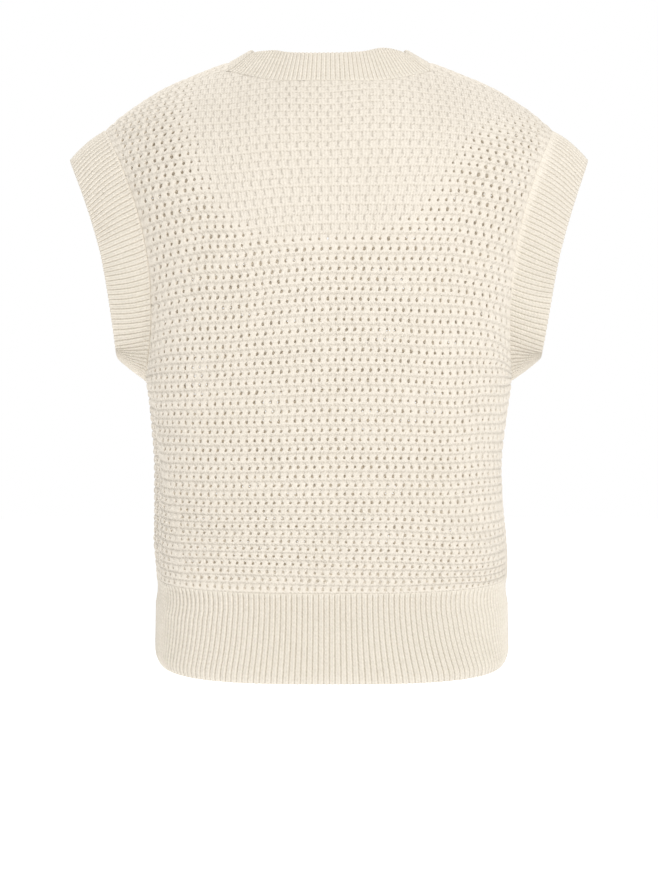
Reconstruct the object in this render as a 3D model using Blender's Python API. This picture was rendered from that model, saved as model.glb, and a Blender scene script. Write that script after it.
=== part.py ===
"""A sleeveless chunky knit cardigan, filled out as when it is worn, as closed cloth walls with open neck, armholes and hem.

Metres, +Z up, front towards -Y, the wearer's left towards +X. The origin lies between the tops of the two shoulders,
next to the neck, where the cloth hangs from its wearer.

The outer face of each panel is a surface P(u, row): row counts the rows of eyelets upwards from the hem seam, and u runs
across the panel from 0 at the centre (or at the front edge) to 1 at the side seam and the armhole seam.
"""

import math

import bmesh
import bpy
import numpy as np

# ---------------------------------------------------------------- driving sizes (metres)
KNIT_WALL = 0.0030       # thickness of the open knit
RIB_WALL = 0.0036        # thickness of the ribs
SEAM_GAP = 0.0003        # clearance between two pieces at a seam
BAND_WIDTH = 0.0285      # neckband and front bands
HEM_BAND = 0.0800        # height of the hem rib
ARM_BAND = 0.0420        # width of the armbands
BUTTON_RADIUS = 0.0105
BUTTON_THICKNESS = 0.0034
BUTTON_HOLE_RADIUS = 0.0012
BUTTON_HEIGHTS = (-0.228, -0.300, -0.372, -0.444, -0.516)

# ---- shape of the cloth ----
ROW_UNDERARM = 25.1      # row at which the side seam ends
ROW_YOKE = 46.4          # row at which the cloth starts to bend over the shoulders
YOKE_ROW = 0.0084        # height of a row above that
FRONT_EDGE = 0.0140      # half the width of the overlapping front bands
FRONT_STEP = 0.00215     # how far the over band stands out and the under band stands in
V_START = -0.215         # height at which the fronts start to part
NECK_X = 0.0945          # half width between the ends of the shoulder seams
NECK_U = 0.47            # where on the back's width the shoulder seam starts
TIP_X = 0.2119           # half width between the tops of the armhole seams

# The body below the shoulders. Each line is a row of the knit: heights of that row at the side or armhole seam, at the
# centre of the back and at the centre of the front, half width, depth to the back and to the front, squareness of the
# section, and sideways lean of the whole section.
BODY_COLUMNS = ("row", "z_side", "z_back", "z_front", "half_width", "y_back", "y_front", "square", "lean")
BODY = (
    (0.0, -0.4750, -0.4927, -0.4800, 0.1645, 0.1205, 0.1150, 3.00, -0.0026),
    (2.5, -0.4600, -0.4757, -0.4640, 0.1655, 0.1225, 0.1180, 2.95, -0.0024),
    (6.0, -0.4395, -0.4522, -0.4430, 0.1650, 0.1222, 0.1195, 2.90, -0.0018),
    (11.0, -0.4105, -0.4178, -0.4130, 0.1636, 0.1205, 0.1215, 2.85, -0.0008),
    (17.7, -0.3640, -0.3643, -0.3600, 0.1640, 0.1188, 0.1245, 2.80, 0.0000),
    (20.9, -0.3356, -0.3375, -0.3320, 0.1672, 0.1180, 0.1262, 2.80, 0.0004),
    (23.2, -0.3160, -0.3170, -0.3110, 0.1700, 0.1177, 0.1272, 2.80, 0.0004),
    (25.1, -0.2995, -0.3000, -0.2930, 0.1729, 0.1176, 0.1278, 2.80, 0.0004),
    (29.9, -0.2635, -0.2571, -0.2490, 0.1700, 0.1180, 0.1275, 2.80, 0.0000),
    (35.0, -0.2250, -0.2117, -0.2040, 0.1700, 0.1185, 0.1220, 2.75, 0.0000),
    (39.4, -0.1900, -0.1723, -0.1660, 0.1700, 0.1178, 0.1140, 2.70, 0.0000),
    (43.2, -0.1575, -0.1395, -0.1340, 0.1800, 0.1150, 0.1045, 2.70, 0.0000),
    (46.4, -0.1300, -0.1126, -0.1075, 0.1830, 0.1102, 0.0950, 2.70, 0.0000),
)

# The armhole seam, an upright ring leaning out over the shoulder; pinch draws its middle in towards the back.
ARM_MIDDLE_X, ARM_TOP_OUT, ARM_DEPTH = 0.1924, 0.0195, 0.0640
ARM_MIDDLE_Z, ARM_HALF_HEIGHT = -0.18155, 0.11795
ARM_PINCH = {1: 0.0244, -1: 0.0205}

# The free edge of the armband: middle, half size and pinch of its ring, and how square its lower half is.
CAP_MIDDLE_X, CAP_TOP_OUT, CAP_DEPTH = 0.2231, 0.0231, 0.0500
CAP_MIDDLE_Z, CAP_HALF_HEIGHT, CAP_SQUARE = -0.1845, 0.0940, 3.1
CAP_PINCH = {1: 0.0108, -1: 0.0085}
CAP_TURN = 0.20          # how far the ribs of the armband slope down outwards, in radians of the ring

# The seam between back and neckband, from the centre of the back to the end of the shoulder seam.
NECK_SEAM_COLUMNS = ("x", "y", "z")
NECK_SEAM = (
    (0.0000, 0.0745, -0.0262),
    (0.0250, 0.0730, -0.0261),
    (0.0490, 0.0660, -0.0246),
    (0.0670, 0.0555, -0.0203),
    (0.0826, 0.0415, -0.0148),
    (0.0945, 0.0290, -0.0100),
)

# The free edge of the neckband: how much wider than even the band is at x, and less where it bends over the shoulders.
NECK_RISE_COLUMNS = ("x", "wider")
NECK_RISE = (
    (-0.0945, -0.0045),
    (-0.0860, -0.0026),
    (-0.0740, 0.0022),
    (-0.0640, 0.0042),
    (-0.0500, 0.0036),
    (-0.0350, 0.0016),
    (-0.0150, 0.0002),
    (0.0300, 0.0002),
    (0.0500, 0.0012),
    (0.0650, 0.0016),
    (0.0800, -0.0018),
    (0.0945, -0.0050),
)

# Soft folds: on the back (u from -1 at the wearer's right to 1 at the left) or on a front, each runs from one row and u
# to another, stands out (+) or sinks in (-) by its depth, and has a half width in u.
FOLD_COLUMNS = ("panel", "u_low", "row_low", "u_high", "row_high", "half_width", "depth")
FOLDS = (
    ("back", 0.80, 0.0, 0.865, 25.0, 0.050, -0.0034),
    ("back", 0.91, 2.0, 0.950, 22.0, 0.045, 0.0018),
    ("back", -0.87, 1.0, -0.900, 20.0, 0.060, -0.0020),
    ("back", -0.66, 3.0, -0.280, 12.5, 0.100, 0.0024),
    ("back", -0.74, 5.5, -0.400, 14.0, 0.090, -0.0020),
    ("back", 0.55, 1.0, 0.350, 9.0, 0.110, 0.0014),
    ("back", 0.20, 3.0, -0.050, 10.0, 0.130, -0.0012),
    ("back", -0.55, 22.0, -0.980, 26.0, 0.090, -0.0018),
    ("l", 0.86, 1.0, 0.900, 23.0, 0.070, -0.0030),
    ("l", 0.70, 20.0, 0.960, 28.0, 0.080, -0.0024),
    ("l", 0.25, 1.0, 0.500, 13.0, 0.130, 0.0018),
    ("r", 0.84, 0.0, 0.880, 21.0, 0.080, -0.0026),
    ("r", 0.66, 22.0, 0.960, 27.0, 0.090, -0.0022),
    ("r", 0.35, 2.0, 0.580, 11.0, 0.120, 0.0020),
)


def smooth(xs, ys, x):
    """A smooth curve through the points (xs, ys), read at x; straight on beyond its ends."""
    xs, ys, x = np.asarray(xs, float), np.asarray(ys, float), np.asarray(x, float)
    steps = np.diff(ys) / np.diff(xs)
    slope = np.empty(len(xs))
    slope[0], slope[-1] = steps[0], steps[-1]
    weight = np.diff(xs)
    slope[1:-1] = (steps[:-1] * weight[1:] + steps[1:] * weight[:-1]) / (weight[1:] + weight[:-1])
    i = np.clip(np.searchsorted(xs, x) - 1, 0, len(xs) - 2)
    h = xs[i + 1] - xs[i]
    t = (x - xs[i]) / h
    inside = np.clip(t, 0.0, 1.0)
    a, b = inside * inside, inside * inside * inside
    y = (2 * b - 3 * a + 1) * ys[i] + (b - 2 * a + inside) * h * slope[i] + (3 * a - 2 * b) * ys[i + 1] + (b - a) * h * slope[i + 1]
    return y + np.where(t < 0, t * h * slope[0], 0.0) + np.where(t > 1, (t - 1) * h * slope[-1], 0.0)


def body(column, row):
    at = BODY_COLUMNS.index(column)
    return smooth([line[0] for line in BODY], [line[at] for line in BODY], row)


def step(x):
    """0 below 0, 1 above 1, smooth between."""
    x = np.clip(x, 0.0, 1.0)
    return x * x * (3 - 2 * x)


def edge_point(side, front, row):
    """The side seam, and above it the armhole seam, at a row."""
    z = float(body("z_side", row))
    if row <= ROW_UNDERARM:
        return np.array([float(body("half_width", row)), 0.0, z])
    up = min(max((z - ARM_MIDDLE_Z) / ARM_HALF_HEIGHT, -1.0), 1.0)
    across = math.sqrt(1 - up * up)
    return np.array([ARM_MIDDLE_X + ARM_TOP_OUT * up - ARM_PINCH[side] * across**2, ARM_DEPTH * across, z])


def section(side, front, row, u):
    """Points of one half of a row, at shares u of its length from the centre (or from the front edge) to the seam."""
    edge = edge_point(side, front, row)
    depth = float(body("y_front" if front else "y_back", row))
    middle = float(body("z_front" if front else "z_back", row))
    n = float(body("square", row))
    half = edge[0] / (1 - (edge[1] / depth) ** n) ** (1 / n)
    angle = np.linspace(0.0, math.atan2(edge[0], max(edge[1], 0.0)), 220)
    reach = (np.abs(np.sin(angle) / half) ** n + np.abs(np.cos(angle) / depth) ** n) ** (-1 / n)
    x, y = reach * np.sin(angle), reach * np.cos(angle)
    along = np.concatenate([[0.0], np.cumsum(np.hypot(np.diff(x), np.diff(y)))])
    start = 0.0
    if front:
        start = float(np.interp(front_edge(middle), x, along))
    at = start + (along[-1] - start) * np.abs(u)
    share = at / along[-1]
    power = 3.0 - 1.0 * float(step(row / 18.0))
    z = middle + (edge[2] - middle) * share**power
    points = np.stack([np.interp(at, along, x), np.interp(at, along, y), z], axis=-1)
    if front:
        points[:, 1] *= -1
    points[:, 0] = side * points[:, 0]
    points[:, 0] += float(body("lean", row))
    return points


def front_edge(z):
    """Half the gap between the fronts at the height z, measured to the seams of their bands."""
    t = np.clip((z - V_START) / -V_START, 0.0, 1.2)
    return FRONT_EDGE + (NECK_X - FRONT_EDGE) * t**1.12


def ridge(x):
    """Height of the shoulder line."""
    return 0.0045 - 0.28 * (x - 0.088) - 2.15 * (x - 0.088) ** 2 + 0.0026 * step((x - 0.120) / 0.045) * step((0.226 - x) / 0.035)


def seam_top(side, u, front):
    """Top of a profile: point of the neck or shoulder seam, the direction in which the back reaches it, and the point of
    the shoulder line in front of it."""
    share = (u - NECK_U) / (1 - NECK_U) if not front else u
    if not front and u < NECK_U:
        x = NECK_X * u / NECK_U
        xs = [line[0] for line in NECK_SEAM]
        point = np.array([x, float(smooth(xs, [line[1] for line in NECK_SEAM], x)), float(smooth(xs, [line[2] for line in NECK_SEAM], x))])
        blend = (u / NECK_U) ** 2
        way = (1 - blend) * np.array([0.0, -0.62, 0.78]) + blend * np.array([-0.02, -0.80, 0.60])
    else:
        x = NECK_X + (TIP_X - 0.0005 - NECK_X) * share
        back = 0.0290 + (0.0089 - 0.0290) * share
        drop = 0.0120 + (0.0012 - 0.0120) * share**0.8
        point = np.array([x, back, float(ridge(x)) - drop])
        way = (1 - share) * np.array([-0.02, -0.80, 0.60]) + share * np.array([0.10, -0.96, 0.25])
    top = np.array([NECK_X + (TIP_X - NECK_X) * share, 0.0, float(ridge(NECK_X + (TIP_X - NECK_X) * share))])
    turn = np.array([side, 1.0, 1.0])
    return point * turn, way * turn / np.linalg.norm(way), top * turn


def hermite(a, da, b, db, t):
    t = np.asarray(t, float)[:, None]
    return (2 * t**3 - 3 * t**2 + 1) * a + (t**3 - 2 * t**2 + t) * da + (3 * t**2 - 2 * t**3) * b + (t**3 - t**2) * db


def yoke(side, front, u, base, below, t):
    """The profile from the yoke row (base, with a point just below it) up to the seam, at shares t of the curve."""
    seam, way, top = seam_top(side, u, front)
    start = (base - below) / np.linalg.norm(base - below)
    if not front:
        reach = np.linalg.norm(seam - base)
        return hermite(base, start * reach * (1.0 + 0.25 * u), seam, way * reach * (1.0 - 0.15 * u), t)
    # up the chest to the shoulder line, then over it to the seam behind
    split = 0.80
    t = np.asarray(t, float)
    reach = np.linalg.norm(top - base)
    over = np.linalg.norm(seam - top)
    level = np.array([0.0, 1.0, 0.0])
    first = hermite(base, start * reach * (1.0 + 0.2 * u), top, level * reach * (1.0 - 0.15 * u), np.clip(t / split, 0, 1))
    second = hermite(top, level * over, seam, -way * over, np.clip((t - split) / (1 - split), 0, 1))
    return np.where((t <= split)[:, None], first, second)


def fold_lift(panel, u, row):
    """How far the folds lift the cloth at u and row."""
    lift = np.zeros(np.broadcast(u, row).shape)
    for name, u_low, row_low, u_high, row_high, half_width, depth in FOLDS:
        if name != panel:
            continue
        along = (row - row_low) / (row_high - row_low)
        middle = u_low + (u_high - u_low) * along + 0.012 * np.sin(along * 7.0 + row_low)
        fade = step(along / 0.25 + 0.3) * step((1 - along) / 0.35 + 0.2)
        lift = lift + depth * fade * np.exp(-(((u - middle) / half_width) ** 2))
    return lift


def unit(v):
    return v / np.maximum(np.linalg.norm(v, axis=-1, keepdims=True), 1e-12)


def normals(grid, outward):
    """Normals of a grid of points [i, j], turned to the side that outward (an array or a function's result) points to."""
    n = unit(np.cross(np.gradient(grid, axis=1), np.gradient(grid, axis=0)))
    sign = np.sign((n * outward).sum(axis=-1, keepdims=True))
    return n * np.where(sign == 0, 1, sign)


def away(grid):
    """From the axis of the body outwards: tells the outer side of a panel."""
    out = grid - np.array([0.0, 0.0, 0.0])
    out = out * np.array([1.0, 1.6, 0.0])
    out[..., 2] += 0.35 * np.clip((grid[..., 2] + 0.20) / 0.1, 0.0, 1.5)
    return out


def panel(name, u, rows, shares):
    """Grid [row, u] of a panel's outer face: rows below the yoke, then shares of the profiles over the shoulder."""
    front = name != "back"
    grid = np.empty((len(rows) + len(shares), len(u), 3))
    lower = np.empty((len(rows) + 1, len(u), 3))
    for i, row in enumerate(list(rows) + [ROW_YOKE - 0.3]):
        if front:
            lower[i] = section(1 if name == "l" else -1, True, row, u)
        else:
            right, left = section(-1, False, row, u[u < 0]), section(1, False, row, u[u >= 0])
            lower[i] = np.concatenate([right, left])
    grid[: len(rows)] = lower[:-1]
    for j, share in enumerate(u):
        side = (1 if name == "l" else -1) if front else (1 if share >= 0 else -1)
        if len(shares):
            grid[len(rows) :, j] = yoke(side, front, abs(float(share)), lower[-2, j], lower[-1, j], shares)
    if front:
        # the over band lies on the under band: the edges of the fronts part by the thickness of the cloth
        gap = np.cumsum(np.linalg.norm(np.diff(grid, axis=1, prepend=grid[:, :1]), axis=-1), axis=1)
        closed = step((-0.115 - grid[:, :1, 2]) / 0.045)
        grid[..., 1] += (1 if name == "l" else -1) * FRONT_STEP * closed * (1 - step(gap / 0.030))
    return grid


def row_numbers(rows, count):
    return np.concatenate([rows, np.linspace(ROW_YOKE, ROW_YOKE + 12, count + 1)[1:]])


def folded(name, grid, u, rows):
    lift = fold_lift(name, np.asarray(u)[None, :], np.asarray(rows)[:, None])
    return grid + normals(grid, away(grid)) * lift[..., None]


def hem(name, u, seam, downs):
    """Grid [down, u] of a hem rib's outer face below the given seam points; downs are shares of its height."""
    front = name != "back"
    depth = {"back": 0.1215, "l": 0.1165, "r": 0.1165}[name]
    low = -0.5745 if not front else -0.5590
    side_low = -0.5540
    half, n = 0.1662, 2.85
    angle = np.linspace(0.0, math.pi / 2, 260)
    reach = (np.abs(np.sin(angle) / half) ** n + np.abs(np.cos(angle) / depth) ** n) ** (-1 / n)
    x, y = reach * np.sin(angle), reach * np.cos(angle)
    along = np.concatenate([[0.0], np.cumsum(np.hypot(np.diff(x), np.diff(y)))])
    start = float(np.interp(FRONT_EDGE, x, along)) if front else 0.0
    at = start + (along[-1] - start) * np.abs(u)
    share = at / along[-1]
    side = (1 if name == "l" else -1) * np.ones(len(u)) if front else np.where(np.asarray(u) < 0, -1.0, 1.0)
    bottom = np.stack([side * np.interp(at, along, x) - 0.0028, np.interp(at, along, y) * (-1 if front else 1), low + (side_low - low) * share**3.3], axis=-1)
    if front:
        gap = (along[-1] - start) * np.abs(u)
        bottom[:, 1] += (1 if name == "l" else -1) * FRONT_STEP * (1 - step(gap / 0.030))
    grid = np.empty((len(downs), len(u), 3))
    flat = np.array([1.0, 1.0, 0.0])
    outward = unit((bottom * flat) ** 3 * np.array([1 / half**2, 1 / depth**2, 0.0]) + 1e-9)
    for i, down in enumerate(downs):
        point = seam + (bottom - seam) * down
        tuck = -0.0016 * np.sin(math.pi * min(down * 3.0, 1.0)) if down < 1 / 3 else 0.0
        curl = -0.0042 * max(0.0, (down - 0.86) / 0.14) ** 2
        grid[i] = point + outward * (tuck + curl)
    return grid


def cap_ring(side, place):
    """The free edge of the armband at places 0 (top of the shoulder) to 1 (underarm) behind, and 1 to 2 in front."""
    turn = np.where(place <= 1, place, 2 - place) * math.pi
    turn = turn + CAP_TURN * np.sin(turn)
    up, across = np.cos(turn), np.sin(turn)
    power = 1 - (1 - 2 / CAP_SQUARE) * step((0.3 - up) / 0.9)
    z = CAP_MIDDLE_Z + CAP_HALF_HEIGHT * np.sign(up) * np.abs(up) ** np.where(up < 0, power**0.5, 1.0)
    y = CAP_DEPTH * np.abs(across) ** power
    x = CAP_MIDDLE_X + CAP_TOP_OUT * np.sign(up) * np.abs(up) - CAP_PINCH[side] * across**2
    return np.stack([side * x, np.where(place <= 1, y, -y), z], axis=-1)


def armband(side, ring, outs):
    """Grid [out, place] of an armband's outer face. ring is the armhole seam, from the shoulder down behind, under the arm
    and up in front, without its first point repeated; outs are shares of the width."""
    size = np.linalg.norm(np.roll(ring, -1, axis=0) - ring, axis=1)
    y, z = ring[:, 1], (ring[:, 2] - ARM_MIDDLE_Z) / ARM_HALF_HEIGHT
    turn = np.arctan2(np.abs(y) / ARM_DEPTH, z) / math.pi
    place = np.where(y >= -1e-9, turn, 2 - turn)
    edge = cap_ring(side, place)
    grid = np.empty((len(outs), len(ring), 3))
    middle = ring.mean(axis=0)
    swell = unit((ring - middle) * np.array([0.0, 1.0, 1.0]))
    for i, out in enumerate(outs):
        bulge = 0.0030 - 0.0022 * step((0.35 - z) / 1.2)
        grid[i] = ring + (edge - ring) * out + swell * (bulge * math.sin(math.pi * out))[:, None]
    return grid


def band_width(seam):
    """Width of the neckband and the front bands along the points of their seam."""
    behind = step((seam[:, 1] + 0.045) / 0.05)
    rise = smooth([line[0] for line in NECK_RISE], [line[1] for line in NECK_RISE], seam[:, 0])
    return BAND_WIDTH + 0.0015 * behind + rise * behind


def strip(seam, normal, lean, width, shares):
    """Grid [share, place] of a band that starts at the seam points and leans up from the cloth by the given angles."""
    along = np.gradient(seam, axis=0)
    along = unit(along)
    inward = unit(np.cross(along, normal))
    way = inward * np.cos(lean)[:, None] + normal * np.sin(lean)[:, None]
    return np.stack([seam + way * width[:, None] * share for share in shares]), way


# ---- end of the shape ----


# ---------------------------------------------------------------- meshes
def clear_scene():
    for obj in list(bpy.data.objects):
        bpy.data.objects.remove(obj, do_unlink=True)
    for mesh in list(bpy.data.meshes):
        bpy.data.meshes.remove(mesh)


def material(name, colour, roughness):
    mat = bpy.data.materials.new(name)
    mat.use_nodes = True
    shader = mat.node_tree.nodes["Principled BSDF"]
    shader.inputs["Base Color"].default_value = (*colour, 1.0)
    shader.inputs["Roughness"].default_value = roughness
    shader.inputs["Metallic"].default_value = 0.0
    mat.diffuse_color = (*colour, 1.0)
    return mat


def volume(points, faces):
    total = 0.0
    for face in faces:
        a = points[face[0]]
        for i in range(1, len(face) - 1):
            total += np.dot(a, np.cross(points[face[i]], points[face[i + 1]]))
    return total / 6


def make_object(name, points, faces, mat):
    points = np.asarray(points, float)
    if volume(points, faces) < 0:
        faces = [tuple(reversed(face)) for face in faces]
    mesh = bpy.data.meshes.new(name)
    mesh.from_pydata([tuple(p) for p in points], [], faces)
    mesh.validate()
    mesh.update()
    mesh.shade_smooth()
    mesh.set_sharp_from_angle(angle=math.radians(50))
    obj = bpy.data.objects.new(name, mesh)
    bpy.context.scene.collection.objects.link(obj)
    obj.data.materials.append(mat)
    return obj


def pull_back(grid, normal, closed, gaps):
    """Moves the edges of a grid [i, j] inwards by half a seam gap, along the face. gaps: which of the edges low i, high i,
    low j, high j."""
    moved = grid.copy()
    half = SEAM_GAP / 2
    rows = ((0, 1), (-1, -2))
    for k, (edge, inner) in enumerate(rows):
        if gaps[k]:
            line = grid[edge]
            along = np.roll(line, -1, axis=0) - np.roll(line, 1, axis=0) if closed else np.gradient(line, axis=0)
            way = unit(np.cross(normal[edge], unit(along)))
            way = way * np.sign(((grid[inner] - line) * way).sum(axis=-1, keepdims=True))
            moved[edge] += way * half
    for k, (edge, inner) in enumerate(rows):
        if gaps[2 + k] and not closed:
            line = grid[:, edge]
            along = unit(np.gradient(line, axis=0))
            way = unit(np.cross(normal[:, edge], along))
            way = way * np.sign(((grid[:, inner] - line) * way).sum(axis=-1, keepdims=True))
            moved[:, edge] += way * half
    return moved


def wall(name, grid, normal, thickness, closed, gaps, mat):
    """A closed wall whose outer face is the grid [i, j]."""
    outer = pull_back(grid, normal, closed, gaps)
    inner = outer - normal * thickness
    a, b = grid.shape[:2]
    points = np.concatenate([outer.reshape(-1, 3), inner.reshape(-1, 3)])
    low = a * b

    def at(i, j, layer):
        return layer * low + i * b + j % b

    faces = []
    columns = b if closed else b - 1
    for i in range(a - 1):
        for j in range(columns):
            faces.append((at(i, j, 0), at(i, j + 1, 0), at(i + 1, j + 1, 0), at(i + 1, j, 0)))
            faces.append((at(i, j, 1), at(i + 1, j, 1), at(i + 1, j + 1, 1), at(i, j + 1, 1)))
    for j in range(columns):
        faces.append((at(0, j, 0), at(0, j, 1), at(0, j + 1, 1), at(0, j + 1, 0)))
        faces.append((at(a - 1, j, 0), at(a - 1, j + 1, 0), at(a - 1, j + 1, 1), at(a - 1, j, 1)))
    if not closed:
        for i in range(a - 1):
            faces.append((at(i, 0, 0), at(i + 1, 0, 0), at(i + 1, 0, 1), at(i, 0, 1)))
            faces.append((at(i, b - 1, 0), at(i, b - 1, 1), at(i + 1, b - 1, 1), at(i + 1, b - 1, 0)))
    # each face as two triangles, cut along its shorter diagonal, so that the wall is the same however it is read
    cut = []
    for face in faces:
        p = [points[k] for k in face]
        if np.linalg.norm(p[0] - p[2]) <= np.linalg.norm(p[1] - p[3]):
            cut += [(face[0], face[1], face[2]), (face[0], face[2], face[3])]
        else:
            cut += [(face[0], face[1], face[3]), (face[1], face[2], face[3])]
    return make_object(name, points, cut, mat)


def share_normals(normal_a, index_a, normal_b, index_b):
    """Gives two pieces one and the same normal along their common seam."""
    mean = unit(normal_a[index_a] + normal_b[index_b])
    normal_a[index_a] = mean
    normal_b[index_b] = mean


def button(name, place, normal, mat):
    """A round button with a raised rim, a dished middle and four holes, standing on the band."""
    rim = ((0.0, 0.0), (0.80, 0.0), (1.0, 0.30), (1.0, 0.70), (0.90, 1.0), (0.76, 0.98), (0.66, 0.76), (0.0, 0.76))
    bm = bmesh.new()
    sides = 24
    rings = []
    for radius, height in rim[1:-1]:
        rings.append([bm.verts.new((radius * BUTTON_RADIUS * math.cos(2 * math.pi * k / sides), radius * BUTTON_RADIUS * math.sin(2 * math.pi * k / sides), height * BUTTON_THICKNESS)) for k in range(sides)])
    bm.faces.new(list(reversed(rings[0])))
    for low, high in zip(rings, rings[1:]):
        for k in range(sides):
            bm.faces.new((low[k], low[(k + 1) % sides], high[(k + 1) % sides], high[k]))
    bm.faces.new(rings[-1])
    mesh = bpy.data.meshes.new(name)
    bm.to_mesh(mesh)
    bm.free()
    obj = bpy.data.objects.new(name, mesh)
    bpy.context.scene.collection.objects.link(obj)
    obj.data.materials.append(mat)
    mesh.shade_smooth()
    mesh.set_sharp_from_angle(angle=math.radians(35))
    # turned so that its axis follows the cloth
    z = normal / np.linalg.norm(normal)
    x = np.cross(np.array([0.0, 0.0, 1.0]), z)
    x /= np.linalg.norm(x)
    y = np.cross(z, x)
    turn = np.stack([x, y, z], axis=1)
    for vertex in mesh.vertices:
        co = turn @ np.array(vertex.co) + place
        vertex.co = tuple(float(c) for c in co)
    mesh.update()
    # four sewing holes right through it
    cutter_mesh = bpy.data.meshes.new(name + "_holes")
    bm = bmesh.new()
    for sx, sy in ((1, 1), (-1, 1), (-1, -1), (1, -1)):
        ends = []
        for height in (-0.5, 1.5):
            ends.append([bm.verts.new(tuple(float(c) for c in turn @ np.array([sx * 0.0021 + BUTTON_HOLE_RADIUS * math.cos(2 * math.pi * k / 8), sy * 0.0021 + BUTTON_HOLE_RADIUS * math.sin(2 * math.pi * k / 8), height * BUTTON_THICKNESS]) + place)) for k in range(8)])
        bm.faces.new(list(reversed(ends[0])))
        bm.faces.new(ends[1])
        for k in range(8):
            bm.faces.new((ends[0][k], ends[0][(k + 1) % 8], ends[1][(k + 1) % 8], ends[1][k]))
    bm.to_mesh(cutter_mesh)
    bm.free()
    cutter = bpy.data.objects.new(name + "_holes", cutter_mesh)
    bpy.context.scene.collection.objects.link(cutter)
    cutter.hide_render = True
    cutter.display_type = "WIRE"
    cut = obj.modifiers.new("holes", "BOOLEAN")
    cut.operation = "DIFFERENCE"
    cut.object = cutter
    return obj


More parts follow.
